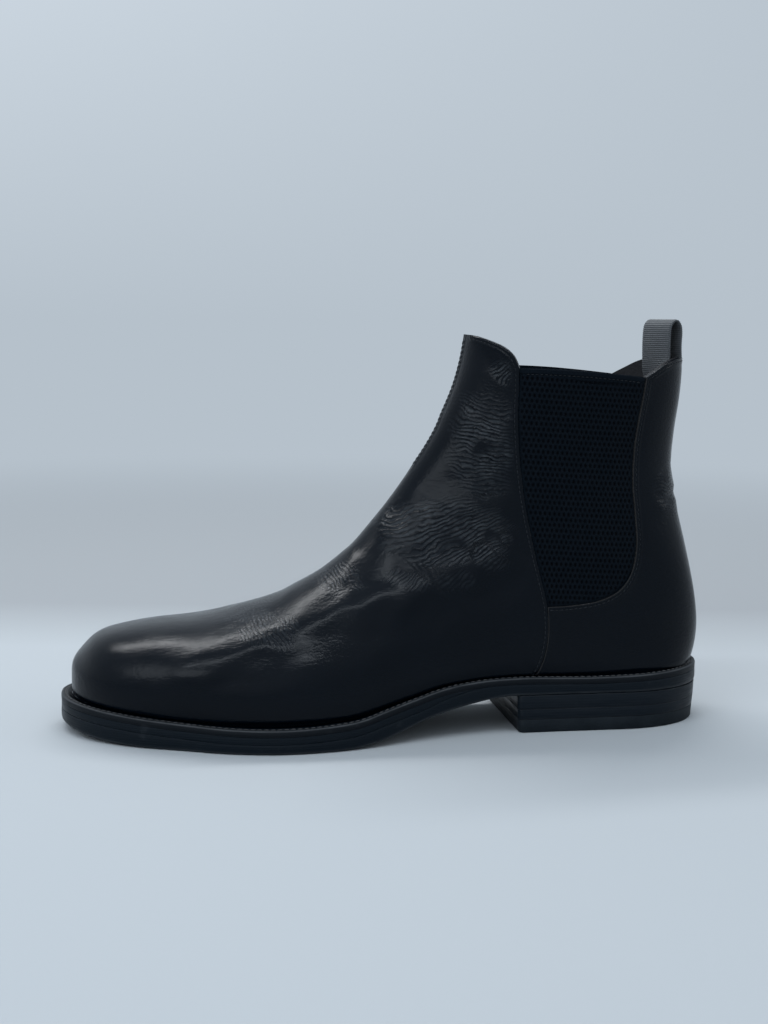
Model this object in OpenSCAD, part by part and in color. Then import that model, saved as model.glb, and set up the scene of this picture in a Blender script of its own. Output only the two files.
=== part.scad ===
// Left chelsea boot, welted, with elastic side gussets and a stacked heel.
// Millimetres. Toe towards -X, heel towards +X, +Z up, the boot's outer (lateral) side towards -Y.
// The sole stands on Z = 0, and the origin is the middle of the boot's footprint.
//
// The upper is described by a fan of planes that all pass through one line above the toe. The first
// plane stands upright at the toe, and the last one lies along the top edge. Each plane cuts the
// upper in one section, which runs from the front ridge to the feather edge or to the back line.

/* [Sole] */
// Length of the sole from toe to heel
sole_len = 310; // [300:1:320]
// How far the sole edge is thicker at the toe than the contact plane, the toe spring
toe_spring = 4.5; // [3:0.5:7]
// Thickness of the welt
welt_t = 3.2; // [2.6:0.1:3.6]
// Thickness of the midsole in the forefoot
midsole_t = 3.5; // [2:0.1:4]
// Height of the heel under the outsole
heel_h = 18.2; // [16:0.1:20]
// Thickness of the rubber top lift
top_lift_t = 6.6; // [5:0.1:8]
// Thickness of the second lift
lift_t = 4.9; // [4:0.1:6]
// Where the heel's front face, the breast, stands
breast_x = 57; // [54:1:60]

/* [Upper] */
// Thickness of the upper leather
leather_t = 1.8; // [1.4:0.1:2]
// Thickness of the lining
lining_t = 1.2; // [0.8:0.1:1.4]
// Thickness of the toe puff and the heel counter
stiffener_t = 1.05; // [0.8:0.05:1.2]
// Thickness of the elastic gusset
elastic_t = 1.2; // [0.9:0.1:1.4]
// Width of the upper's edge that is turned in under the insole
lasting_margin = 9; // [7:0.5:10]

/* [Pull tab] */
// Width of the woven strap
strap_w = 22; // [18:1:24]
// Thickness of the woven strap
strap_t = 1.2; // [0.9:0.1:1.4]
// Turn of the standing loop about the vertical
loop_turn = 17; // [0:1:20]

/* [Hidden] */

gap = 0.05;               // glue line between neighbouring layers
seam_gap = 0.4;           // room left along the gussets' seams
half = sole_len / 2;
fan = [-150.4, 215];       // x and z of the line that all section planes share
fan_last = -8.7;          // the section at the front top edge
nudge = 0.12;             // degrees either side of a section, used to find the surface's direction

// Side outlines, as x and z from toe to heel or from bottom to top.
ridge_line = [[-150.4, 25], [-149.6, 31], [-146, 36.6], [-139, 43.6], [-130, 47.4], [-112, 50.9],
    [-90, 53.4], [-66, 59], [-43, 67.6], [-24, 80], [-8, 97], [7, 116], [22, 140], [30, 158],
    [34, 172], [36.5, 186], [38, 196]];
back_line = [[151.4, 28], [153.6, 35], [154.6, 45], [153.2, 60], [148, 84], [142.4, 106],
    [139.6, 124], [140.6, 140], [142.6, 158], [143.6, 176], [144, 184]];
low_seam = [[66, 27], [69.6, 36], [71.4, 46], [71, 60]];
gusset_front = [[71, 60], [66, 81], [61.5, 102], [58.4, 124], [57, 148], [57.2, 171.3]];
gusset_rear = [[71, 60], [83, 60.4], [97, 62.4], [107, 67.2], [113, 76], [115.2, 89],
    [114.4, 102], [113, 119], [114.2, 140], [118.5, 167.3]];
gusset_top = [[57.2, 171.3], [71.5, 171], [86, 170.3], [102, 169], [118.5, 167.3]];
front_top = [[57.2, 171.3], [54.4, 177.2], [50, 181.2], [45, 183.6], [41.5, 185], [36, 187]];
back_top = [[118.5, 167.3], [123.8, 170.2], [131, 174], [137, 175.8], [143.7, 176.6]];

// Heights along the sole, as x and z.
welt_top_line = [[-155, 17], [-127, 14.5], [-100, 12.5], [-72, 11.5], [-50, 11.5], [-33, 12.2],
    [-20, 13.5], [-7, 17], [8, 21], [22, 24.5], [40, 26.5], [60, 27], [97, 26.3], [155, 28]];
tread_line = [[-155, toe_spring], [-140, toe_spring * 0.4], [-122, 0.4], [-105, 0], [-35, 0],
    [-22, 0.6], [-8, 3.4], [3, 7.2], [14, 11], [34, 15.6], [breast_x - 2, heel_h], [155, heel_h]];

// Half-widths of the sole either side of its middle line, and the middle line's y, against x.
lateral_width = [[-155, 42], [-105, 46.5], [-78, 54], [-52, 56.5], [-20, 52], [10, 43.5],
    [40, 37.5], [60, 36], [110, 36], [155, 36]];
medial_width = [[-155, 40], [-110, 45], [-80, 54.5], [-64, 55.5], [-40, 50], [-10, 38.5],
    [20, 31.5], [50, 32], [80, 35], [110, 36], [155, 36]];
middle_line = [[-155, 9], [-110, 4.5], [-60, 0.5], [0, 1], [60, 3], [155, 4.5]];
toe_round = -92;          // where the toe's rounding starts
heel_round = 110;         // where the heel's rounding starts
toe_power = 2.25;         // 2 is an ellipse, and more is squarer
heel_power = 2.1;

// How far the upper's feather edge lies inside the sole's edge, against x.
feather_in = [[-155, 4.6], [-110, 5.8], [-60, 6.6], [0, 5.5], [60, 4.4], [155, 3.6]];

// The upper's sections, against the fan's angle: half-width outside and inside, where along the
// section it is widest, how round its top is, how full its lower part is, and the middle's y.
sections = [
    [-90, 43, 41, 0.72, 0.86, 0.8, 9],
    [-80, 43.5, 43, 0.72, 0.88, 0.8, 4.5],
    [-70, 50, 50.5, 0.72, 0.92, 0.8, 1],
    [-62, 51.5, 49, 0.72, 0.98, 0.75, 0.5],
    [-55, 47.5, 42.5, 0.7, 1.05, 0.7, 0.7],
    [-48, 41.5, 36.5, 0.66, 1.1, 0.65, 1.5],
    [-41, 36.5, 34, 0.6, 1.08, 0.6, 3],
    [-34, 34.4, 34, 0.56, 1.02, 0.62, 4],
    [-27, 32.6, 32.6, 0.54, 1, 0.7, 4.4],
    [-20, 31, 31, 0.52, 0.98, 0.8, 4.5],
    [-12, 31.6, 31.6, 0.5, 0.96, 0.88, 4.5],
    [-7, 32, 32, 0.5, 0.96, 0.9, 4.5]];

// ---- Curves -------------------------------------------------------------------------------

// A smooth curve through points whose first value rises, read at x. k picks the value.
function slope(p, i, k) =
    let(a = max(i - 1, 0), b = min(i + 1, len(p) - 1)) (p[b][k] - p[a][k]) / (p[b][0] - p[a][0]);
function step_of(p, x, i = 0) = i >= len(p) - 2 || x < p[i + 1][0] ? i : step_of(p, x, i + 1);
function curve(p, x, k = 1) =
    let(q = max(p[0][0], min(p[len(p) - 1][0], x)), i = step_of(p, q), d = p[i + 1][0] - p[i][0],
        t = (q - p[i][0]) / d, a = slope(p, i, k) * d, b = slope(p, i + 1, k) * d)
    (1 + 2 * t) * (1 - t) ^ 2 * p[i][k] + t * (1 - t) ^ 2 * a
        + t ^ 2 * (3 - 2 * t) * p[i + 1][k] + t ^ 2 * (t - 1) * b;

// An outline in the side view as angle and distance from the fan's line, and its smooth curve.
function polar(line) = [for (p = line) [atan2(p[1] - fan[1], p[0] - fan[0]), norm(p - fan)]];
function turned(p) = p[0][0] < p[len(p) - 1][0] ? p : [for (i = [len(p) - 1:-1:0]) p[i]];
ridge_polar = turned(polar(ridge_line));
back_polar = turned(polar(back_line));
low_polar = turned(polar(low_seam));
front_polar = turned(polar(gusset_front));
rear_polar = turned(polar(gusset_rear));
hem_polar = turned(polar(gusset_top));
front_top_polar = turned(polar(front_top));
back_top_polar = turned(polar(back_top));

fan_heel = back_polar[0][0];      // the section through the upper's lowest point at the back
fan_low = low_polar[0][0];        // where the seam of vamp and quarter meets the welt
fan_corner = front_polar[0][0];   // the gusset's lower front corner
fan_hem = hem_polar[0][0];        // the gusset's upper front corner
fan_rear = hem_polar[len(hem_polar) - 1][0];
fan_bend = -20.9;                 // where the back of the shaft creases
fan_peak = back_top_polar[len(back_top_polar) - 1][0];

// Distance from the fan's line to the seams that bound the panels.
function vamp_end(a) = a < fan_low ? 1e3 : a < fan_corner ? curve(low_polar, a)
    : a < fan_hem ? curve(front_polar, a) : curve(front_top_polar, a);
function gusset_start(a) = a < fan_hem ? curve(front_polar, a) : curve(hem_polar, a);
function quarter_start(a) = a < fan_corner ? curve(low_polar, a)
    : a < fan_rear ? curve(rear_polar, a) : curve(back_top_polar, a);

// ---- Plan of the sole -----------------------------------------------------------------------

// Half-width of the sole's outline at x, moved inwards by inset. side is -1 outside, 1 inside.
function rounding(x, inset) = let(
        t = max(0, (toe_round - x) / (toe_round + half - inset)),
        h = max(0, (x - heel_round) / (half - inset - heel_round)))
    (t >= 1 || h >= 1) ? 0 : (1 - t ^ toe_power) ^ (1 / toe_power) * (1 - h ^ heel_power) ^ (1 / heel_power);
function plan_width(side, x, inset) =
    (curve(side < 0 ? lateral_width : medial_width, x) - inset) * rounding(x, inset);
function plan(inset, from = -half, to = half, n = 30) =
    let(a = max(from, inset - half), b = min(to, half - inset),
        xs = [for (i = [0:n]) a + (b - a) * (1 - cos(180 * i / n)) / 2])
    concat([for (x = xs) [x, curve(middle_line, x) - plan_width(-1, x, inset)]],
        [for (i = [n:-1:0]) let(w = plan_width(1, xs[i], inset))
            if (w > 0.01) [xs[i], curve(middle_line, xs[i]) + w]]);

function welt_top(x) = curve(welt_top_line, x);
function tread(x) = x > breast_x - 3 ? heel_h : min(heel_h, curve(tread_line, x));
// The midsole is skived away to nothing through the waist.
function midsole_depth(x) = midsole_t * (1 - smooth((x - 5) / 38));
function smooth(t) = let(c = max(0, min(1, t))) c * c * (3 - 2 * c);
function outsole_top(x) = welt_top(x) - welt_t - midsole_depth(x);

// ---- Surface of the upper -------------------------------------------------------------------

function ground(a, r = 200, n = 14) = n == 0 ? r
    : ground(a, (fan[1] - welt_top(fan[0] + r * cos(a))) / sin(-a), n - 1);

// All that a section needs: angle, ridge, far end, the table's values, feather widths, closed or not.
function section(a) = let(
        closed = a >= fan_heel - 0.001,
        near = curve(ridge_polar, a),
        far = closed ? curve(back_polar, a) : ground(a),
        x = fan[0] + far * cos(a),
        toe = closed ? 1 : rounding(min(x, 0), 4.6),
        inset = curve(feather_in, x),
        wide = [for (k = [1, 2]) max(1.7, curve(sections, a, k) * toe)],
        foot = [for (k = [0, 1]) closed ? 1.2
            : max(1.2, min(wide[k] - 0.4, plan_width(2 * k - 1, x, inset)))])
    [a, near, far, wide, foot, curve(sections, a, 3), curve(sections, a, 4), curve(sections, a, 5),
        curve(sections, a, 6), closed];

// Point of a section. v runs from 0 at the ridge over 1 at the widest to 2 at the far end.
function on(s, side, v) = v < 0 ? on(s, -side, -v) : v > 2 ? (s[9] ? on(s, -side, 4 - v) : on(s, side, 2)) : let(
        k = side < 0 ? 0 : 1, wide = s[3][k], foot = s[4][k],
        t = v < 1 ? s[5] * (1 - cos(90 * v)) : s[5] + (1 - s[5]) * sin(90 * (v - 1)),
        w = v < 1 ? wide * sin(90 * v) ^ s[6] : foot + (wide - foot) * abs(cos(90 * (v - 1))) ^ s[7],
        r = s[1] + t * (s[2] - s[1]))
    [fan[0] + r * cos(s[0]), s[8] + side * w, fan[1] + r * sin(s[0])];
function v_at(s, r) = let(t = max(0, min(1, (r - s[1]) / (s[2] - s[1]))))
    t < s[5] ? acos(1 - t / s[5]) / 90 : 1 + asin((t - s[5]) / (1 - s[5])) / 90;

function unit(v) = v / norm(v);
function outward(n, p, s) = let(
        m = fan[0] + (s[1] + s[2]) / 2 * cos(s[0]), c = [max(m, p[0] - 8), s[8], p[2] < 60 ? p[2] - 4 : p[2]])
    n * (p - c) < 0 ? -n : n;
// A row is a section with its two neighbours.
function row(a) = [section(a), section(a - nudge), section(a + nudge)];
// Point of the surface, moved inwards by depth along the surface's normal.
function skin(r, side, v, depth) = let(
        q = r[0][9] ? v : min(v, 1.9), p = on(r[0], side, v), d = 0.02,
        n = cross(on(r[2], side, q) - on(r[1], side, q), on(r[0], side, q + d) - on(r[0], side, q - d)))
    p - depth * outward(unit(n), on(r[0], side, q), r[0]);
// The feather edge, moved in and up by depth, and the edge of the margin turned in from it.
function feather(r, side, depth) = let(
        p = on(r[0], side, 2), g = on(r[2], side, 2) - on(r[1], side, 2), n0 = unit([g[1], -g[0], 0]),
        c = [max(-90, min(105, p[0])), r[0][8], p[2]], n = n0 * (p - c) < 0 ? -n0 : n0)
    r[0][9] ? skin(r, side, 2, depth) : p - depth * n + [0, 0, depth];
function margin(r, side, depth) = let(
        f = feather(r, side, depth), w = abs(f[1] - r[0][8]), m = r[0][4][side < 0 ? 0 : 1] - lasting_margin)
    [f[0], r[0][8] + side * max(0.4, min(m, w - 0.8)), f[2]];

// ---- Closed sheets --------------------------------------------------------------------------

// A closed solid between two grids of points. cells says which cells of the grid exist. Where
// zipped, the first row is folded on itself, so that it closes the toe.
module sheet(outer, inner, missing = [], zipped = false) {
    rows = len(outer);
    cols = len(outer[0]);
    function id(i, j) = (zipped && i == 0 && j > (cols - 1) / 2) ? cols - 1 - j : i * cols + j;
    function exists(i, j) = i >= 0 && j >= 0 && i < rows - 1 && j < cols - 1
        && len([for (m = missing) if (m == [i, j]) 1]) == 0;
    half_n = rows * cols;
    function faces(o, f) = f == 0 ? o : [for (t = o) [for (k = [2:-1:0]) t[k] + half_n]];
    skin_faces = [for (i = [0:rows - 2], j = [0:cols - 2]) if (exists(i, j))
        each let(a = id(i, j), b = id(i, j + 1), c = id(i + 1, j + 1), d = id(i + 1, j))
            a == b ? [[b, c, d]] : [[a, b, c], [a, c, d]]];
    function wall(a, b) = [[b, a, a + half_n], [b, a + half_n, b + half_n]];
    walls = [for (i = [0:rows - 2], j = [0:cols - 2]) if (exists(i, j)) each concat(
        exists(i, j - 1) ? [] : wall(id(i + 1, j), id(i, j)),
        exists(i, j + 1) ? [] : wall(id(i, j + 1), id(i + 1, j + 1)),
        exists(i - 1, j) || (zipped && i == 0) ? [] : wall(id(i, j), id(i, j + 1)),
        exists(i + 1, j) ? [] : wall(id(i + 1, j + 1), id(i + 1, j)))];
    polyhedron(points = concat([for (r = outer) each r], [for (r = inner) each r]),
        faces = concat(faces(skin_faces, 0), faces(skin_faces, 1), walls), convexity = 6);
}

// Angles of the rows: evenly spread between the marks, a given number of steps each.
function spread(marks) = [for (i = [0:len(marks) - 2]) each
    [for (k = [0:marks[i][1] - 1]) marks[i][0] + (marks[i + 1][0] - marks[i][0]) * k / marks[i][1]],
    marks[len(marks) - 1][0]];

vamp_rows = concat([-89.9, -89.6, -89.1, -88.3, -87.2, -85.6],
    spread([[-83.4, 3], [-74.5, 8], [fan_low, 3], [fan_corner, 7], [fan_hem, 4], [-9.3, 2], [fan_last, 1]]));
vamp_cols = 12;           // columns from the ridge to each edge

// The front panel's rows run from edge to edge over the ridge. Below the seam with the quarter,
// each edge is the feather edge with its turned-in margin.
function vamp_row(a, depth) = let(r = row(a), low = a <= fan_low + 0.001, stop = v_at(r[0], vamp_end(a)))
    [for (j = [-vamp_cols - 1:vamp_cols + 1]) let(side = j < 0 ? -1 : 1, k = abs(j))
        low && k == vamp_cols + 1 ? margin(r, side, depth)
        : low && k == vamp_cols ? feather(r, side, depth)
        : skin(r, side, stop * min(k, vamp_cols) / vamp_cols, depth)];
function index_of(rows, a, i = 0) = rows[i] >= a - 0.001 ? i : index_of(rows, a, i + 1);
function open_margins(rows) = let(first = index_of(rows, fan_low))
    [for (i = [first:len(rows) - 2]) each [[i, 0], [i, 2 * vamp_cols + 1]]];

// The back panel's rows run from the outside seam round the heel to the inside seam.
quarter_cols = 9;         // columns from each seam to the feather edge or the back line
function quarter_row(a, depth) = let(r = row(a), start = v_at(r[0], quarter_start(a)))
    [for (j = [-quarter_cols - 1:quarter_cols + 1]) if (j != 0) let(
            side = j < 0 ? -1 : 1, k = quarter_cols + 1 - abs(j))
        k == quarter_cols ? margin(r, side, depth)
        : k == quarter_cols - 1 ? feather(r, side, depth)
        : skin(r, side, start + (2 - start) * k / (quarter_cols - 1), depth)];
function open_heel(rows) = let(last = index_of(rows, fan_heel))
    [for (i = [0:last - 1]) [i, quarter_cols]];

gusset_cols = 7;
function gusset_row(a, side, depth) = let(r = row(a), v0 = v_at(r[0], gusset_start(a) + seam_gap),
        v1 = v_at(r[0], curve(rear_polar, a) - seam_gap))
    [for (j = [0:gusset_cols]) skin(r, side, side < 0 ? v0 + (v1 - v0) * j / gusset_cols
        : v1 + (v0 - v1) * j / gusset_cols, depth)];

quarter_rows = spread([[fan_low + 0.35, 3], [fan_corner, 2], [fan_heel, 8], [fan_bend - 0.3, 1]]);
quarter_top_rows = spread([[fan_bend + 0.1, 7], [fan_rear, 4], [fan_peak - 0.14, 1]]);
gusset_rows = spread([[fan_corner + 0.3, 12], [fan_hem, 5], [fan_rear - 0.06, 1]]);
puff_rows = [for (a = vamp_rows) if (a < -76) a];
counter_rows = [for (a = quarter_rows) if (a < -22.5) a];

under_leather = leather_t + gap;
under_stiffener = under_leather + stiffener_t + gap;
// The vamp's lining lies under the toe puff in front and directly under the leather behind it.
function vamp_lining_depth(a) =
    under_stiffener + (under_leather - under_stiffener) * smooth((a + 76) / 4);
shaft_inside = under_stiffener + lining_t;

black = [0.045, 0.047, 0.055];
tan_leather = [0.62, 0.45, 0.3];

module vamp() {
    color(black) sheet([for (a = vamp_rows) vamp_row(a, 0)], [for (a = vamp_rows) vamp_row(a, leather_t)],
        open_margins(vamp_rows), true);
}
module vamp_lining() {
    color("dimgray") sheet([for (a = vamp_rows) vamp_row(a, vamp_lining_depth(a))],
        [for (a = vamp_rows) vamp_row(a, vamp_lining_depth(a) + lining_t)], open_margins(vamp_rows), true);
}
module toe_puff() {
    color("tan") sheet([for (a = puff_rows) vamp_row(a, under_leather)],
        [for (a = puff_rows) vamp_row(a, under_leather + stiffener_t)], [], true);
}
// trim leaves out columns next to both seams.
module back_panel(rows, depth, thickness, trim = 0) {
    sides = [for (i = [0:len(rows) - 2], k = [0:1:trim - 1]) each [[i, k], [i, 2 * quarter_cols - k]]];
    sheet([for (a = rows) quarter_row(a, depth)], [for (a = rows) quarter_row(a, depth + thickness)],
        concat(sides, rows[0] < fan_heel ? open_heel(rows) : []));
}
module quarter() { color(black) back_panel(quarter_rows, 0, leather_t); }
module quarter_lining() { color("dimgray") back_panel(quarter_rows, under_stiffener, lining_t); }
module heel_counter() { color("tan") back_panel(counter_rows, under_leather, stiffener_t, 1); }
module quarter_top() { color(black) back_panel(quarter_top_rows, 0, leather_t); }
module quarter_top_lining() { color("dimgray") back_panel(quarter_top_rows, under_stiffener, lining_t); }
// The elastic lies a little deeper than the leather either side of it.
module gusset(side) {
    color([0.03, 0.03, 0.035]) sheet([for (a = gusset_rows) gusset_row(a, side, leather_t - elastic_t)],
        [for (a = gusset_rows) gusset_row(a, side, leather_t)]);
}
module gusset_lateral() { gusset(-1); }
module gusset_medial() { gusset(1); }

// ---- Pull tab -------------------------------------------------------------------------------

tab_y = curve(sections, -12, 6);      // the strap's middle
tab_pivot = [137.4, 177.4];           // x and z of the line that the loop folds about
loop_top = 194.6;                     // height of the loop's crown
loop_depth = 7.4;                     // from the front leg's face to the back leg's
leg_gap = 1.8;                        // the front leg stands this far above the fold
tail_gap = 0.35;                      // between the lining and the strap's sewn end

// The loop's middle line in the side view: up the back leg, over the crown and down the front leg.
loop_r = (loop_depth - strap_t) / 2;
loop_rise = loop_top - tab_pivot[1] - strap_t / 2 - loop_r;
loop_path = concat([[0, 0.2], [0.3, loop_rise / 2]],
    [for (t = [0:30:180]) [loop_r * (cos(t) - 1), loop_rise + loop_r * sin(t)]],
    [[-2 * loop_r, loop_rise / 2], [-2 * loop_r, leg_gap]]);
function left_of(p, i) = let(d = unit(p[min(i + 1, len(p) - 1)] - p[max(i - 1, 0)])) [-d[1], d[0]];
module pull_loop() {
    function edge(i, j, s) = let(q = loop_path[i] + s * strap_t / 2 * left_of(loop_path, i))
        [q[0], strap_w * j / 2, q[1]];
    color([0.22, 0.23, 0.25]) translate([tab_pivot[0], tab_y, tab_pivot[1]]) rotate([0, 0, loop_turn])
        sheet([for (i = [0:len(loop_path) - 1]) [edge(i, -1, -1), edge(i, 1, -1)]],
            [for (i = [0:len(loop_path) - 1]) [edge(i, -1, 1), edge(i, 1, 1)]]);
}
// The sewn end of the strap lies flat on the lining under the back's top edge.
module pull_tail() {
    function v_of(s, w) = let(c = max(0, abs(w) - s[4][0]) / (s[3][0] - s[4][0])) 1 + acos(c ^ (1 / s[7])) / 90;
    function tail_row(a, depth) = let(r = row(a)) [for (w = [-1, -0.75, -0.5, -0.25, 0.25, 0.5, 0.75, 1])
        skin(r, w < 0 ? -1 : 1, v_of(r[0], w * strap_w / 2), depth)];
    rows = spread([[-13.4, 5], [-8.3, 1]]);
    color([0.22, 0.23, 0.25]) sheet([for (a = rows) tail_row(a, shaft_inside + tail_gap)],
        [for (a = rows) tail_row(a, shaft_inside + tail_gap + strap_t)]);
}

// ---- Insole and bottom ----------------------------------------------------------------------

insole_up = under_stiffener + lining_t + 0.2;   // insole's underside above the welt's top
insole_t = 3;
sock_t = 1.2;
pad_t = 1.5;              // the heel pad is let into the insole by its own thickness
pad_from = 85;            // the heel pad's front edge
pad_in = 11;              // the heel pad's edge inside the upper's
midsole_end = 40;         // skived to nothing before this
shank_t = 1.6;
shank_w = 14;
shank_ends = [2, 100];
rib_end = 50;             // the cork and the rib stop here, and the heel seat carries on behind
rib_at = lasting_margin + 2;
rib_t = 3;
welt_in = 8;              // how far the welt reaches in under the upper

// The same plan as the sole's, moved in from the upper's feather edge.
function inner_plan(inset, from = -half, to = half, n = 30) =
    let(a = max(from, feather_in[0][1] + inset - half), b = min(to, half - feather_in[5][1] - inset),
        xs = [for (i = [0:n]) a + (b - a) * (1 - cos(180 * i / n)) / 2],
        w = function(side, x) plan_width(side, x, curve(feather_in, x) + inset))
    concat([for (x = xs) [x, curve(middle_line, x) - w(-1, x)]],
        [for (i = [n:-1:0]) if (w(1, xs[i]) > 0.01) [xs[i], curve(middle_line, xs[i]) + w(1, xs[i])]]);

// A layer of the bottom between two heights that follow x, cut out of the plan drawn as child.
// All layers bend at the same places, every 5 mm, so that they lie flat on each other.
module layer(low, high, from = -half, to = half) {
    xs = concat([from], [for (k = [floor(from / 5) + 1:ceil(to / 5) - 1]) 5 * k], [to]);
    intersection() {
        linear_extrude(60) children();
        translate([0, 100, 0]) rotate([90, 0, 0]) linear_extrude(200) polygon(concat(
            [for (x = xs) [x, low(x)]], [for (i = [len(xs) - 1:-1:0]) [xs[i], high(xs[i])]]));
    }
}
welt_under = function(x) welt_top(x) - welt_t;
welt_face = function(x) welt_top(x) - 0.7;
insole_under = function(x) welt_top(x) + insole_up;
insole_face = function(x) welt_top(x) + insole_up + insole_t;

module welt() {
    color(black) layer(welt_under, welt_face)
        difference() { polygon(plan(0)); polygon(inner_plan(welt_in)); }
}
module midsole() {
    color([0.09, 0.08, 0.075]) layer(function(x) outsole_top(x), welt_under, -half, midsole_end)
        polygon(plan(0.3, -half, midsole_end));
}
module outsole() {
    color([0.06, 0.06, 0.062]) difference() {
        layer(function(x) tread(x), function(x) outsole_top(x)) polygon(plan(0));
        nail_holes();
    }
}
module insole_rib() {
    color("tan") layer(welt_under, insole_under, -half, rib_end)
        difference() { polygon(inner_plan(rib_at, -half, rib_end)); polygon(inner_plan(rib_at + rib_t)); }
}
module shank_room() {
    layer(function(x) insole_under(x) - shank_t - 0.1, insole_face, shank_ends[0] - 0.5, shank_ends[1] + 0.5)
        translate([shank_ends[0] - 0.5, curve(middle_line, 50) - shank_w / 2 - 0.3])
            square([shank_ends[1] - shank_ends[0] + 1, shank_w + 0.6]);
}
module cork_filler() {
    color([0.66, 0.5, 0.33]) difference() {
        layer(welt_under, insole_under, -half, rib_end)
            polygon(inner_plan(rib_at + rib_t + 0.4, -half, rib_end));
        shank_room();
    }
}
module heel_seat() {
    color([0.55, 0.4, 0.27]) difference() {
        layer(welt_under, insole_under, rib_end + gap) polygon(inner_plan(rib_at, rib_end + gap));
        shank_room();
        nail_holes();
    }
}
module shank() {
    color("silver") layer(function(x) insole_under(x) - shank_t, function(x) insole_under(x) - 0.05,
        shank_ends[0], shank_ends[1])
        translate([shank_ends[0], curve(middle_line, 50) - shank_w / 2])
            square([shank_ends[1] - shank_ends[0], shank_w]);
}
module insole() {
    color(tan_leather) difference() {
        layer(insole_under, insole_face) polygon(inner_plan(5));
        layer(function(x) insole_face(x) - pad_t, function(x) insole_face(x) + 1, pad_from)
            polygon(inner_plan(pad_in, pad_from));
    }
}
module heel_pad() {
    color("gold") layer(function(x) insole_face(x) - pad_t, insole_face, pad_from)
        polygon(inner_plan(pad_in, pad_from));
}
module sock_liner() {
    color([0.12, 0.12, 0.13]) layer(insole_face, function(x) insole_face(x) + sock_t) polygon(inner_plan(5.6));
}

// ---- Heel -----------------------------------------------------------------------------------

nail_r = 1.1;
nail_top = 25;            // the nails end inside the heel seat
nail_in = 19;             // from the heel's edge to the nails
nail_x = [72, 92, 112];
nail_places = concat([for (x = nail_x, side = [-1, 1])
    [x, curve(middle_line, x) + side * plan_width(side, x, nail_in)]], [[130, curve(middle_line, 130)]]);
module nail_holes() {
    for (p = nail_places) translate([p[0], p[1], 0.5]) cylinder(r = nail_r, h = nail_top - 0.5, $fn = 24);
}
module heel_nails() {
    color("goldenrod") for (p = nail_places)
        translate([p[0], p[1], top_lift_t]) cylinder(r = nail_r, h = nail_top - top_lift_t, $fn = 24);
}
// A lift of the heel between two heights, set in from the outsole's edge.
module lift(low, high, inset) {
    translate([0, 0, low]) linear_extrude(high - low) polygon(plan(inset, breast_x));
}
module heel_lift_upper() {
    color(black) difference() { lift(top_lift_t + lift_t, heel_h, 0.3); nail_holes(); }
}
module heel_lift_lower() {
    color(black) difference() { lift(top_lift_t, top_lift_t + lift_t, 0.7); nail_holes(); }
}
module top_lift() { color([0.06, 0.06, 0.062]) lift(0, top_lift_t, 1.2); }

vamp();
quarter();
quarter_top();
gusset_lateral();
gusset_medial();
vamp_lining();
quarter_lining();
quarter_top_lining();
toe_puff();
heel_counter();
pull_loop();
pull_tail();
sock_liner();
heel_pad();
insole();
insole_rib();
cork_filler();
heel_seat();
shank();
welt();
midsole();
outsole();
heel_lift_upper();
heel_lift_lower();
top_lift();
heel_nails();
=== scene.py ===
import math

import bmesh
import bpy
import numpy as np
from mathutils import Matrix, Vector
from mathutils.kdtree import KDTree


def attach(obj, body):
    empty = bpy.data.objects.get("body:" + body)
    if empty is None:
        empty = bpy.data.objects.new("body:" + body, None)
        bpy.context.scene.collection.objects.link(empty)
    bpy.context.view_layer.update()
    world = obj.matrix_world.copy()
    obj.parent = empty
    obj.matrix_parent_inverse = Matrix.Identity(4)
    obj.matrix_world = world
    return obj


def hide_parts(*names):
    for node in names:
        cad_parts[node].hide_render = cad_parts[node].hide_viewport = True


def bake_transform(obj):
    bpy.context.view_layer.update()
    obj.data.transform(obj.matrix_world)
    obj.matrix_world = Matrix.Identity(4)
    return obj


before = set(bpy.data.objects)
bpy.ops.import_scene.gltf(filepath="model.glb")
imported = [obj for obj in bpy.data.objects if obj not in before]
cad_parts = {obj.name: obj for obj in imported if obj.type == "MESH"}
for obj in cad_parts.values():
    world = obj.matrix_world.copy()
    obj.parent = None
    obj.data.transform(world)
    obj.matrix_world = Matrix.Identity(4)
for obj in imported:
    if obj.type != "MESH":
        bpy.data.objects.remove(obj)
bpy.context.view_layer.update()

# A left chelsea boot. Shapes are worked out in millimetres in the CAD's frame, toe towards -X and
# heel towards +X, and become metres in new_mesh().
MM = 0.001

# ---- Driving dimensions, the same as the CAD's ----

HALF = 155.0              # half the sole's length
WELT_T = 3.2
MIDSOLE_T = 3.5
HEEL_H = 18.2
TOP_LIFT_T = 6.6
LIFT_T = 4.9
BREAST_X = 57.0           # the heel's front face
MIDSOLE_END = 40.0
LEATHER_T = 1.8
LINING_T = 1.2
SOCK_UP = LEATHER_T + 1.15 + LINING_T + 0.2 + 3.0      # from the welt's top to the sock liner's underside
STRAP_W = 22.0
STRAP_T = 1.2
LOOP_TURN = 17.0          # degrees that the pull loop is turned about the vertical
RIB_PITCH = 0.95
TAB_X, TAB_Y = 137.4, 4.5

SIDES = (-1, 1)           # the outer side and the inner side
FAN = np.array([-150.4, 215.0])       # x and z of the line that all the upper's sections share
FAN_FIRST, FAN_LAST = -89.93, -8.7    # angles of the sections at the toe and at the front top edge

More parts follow.
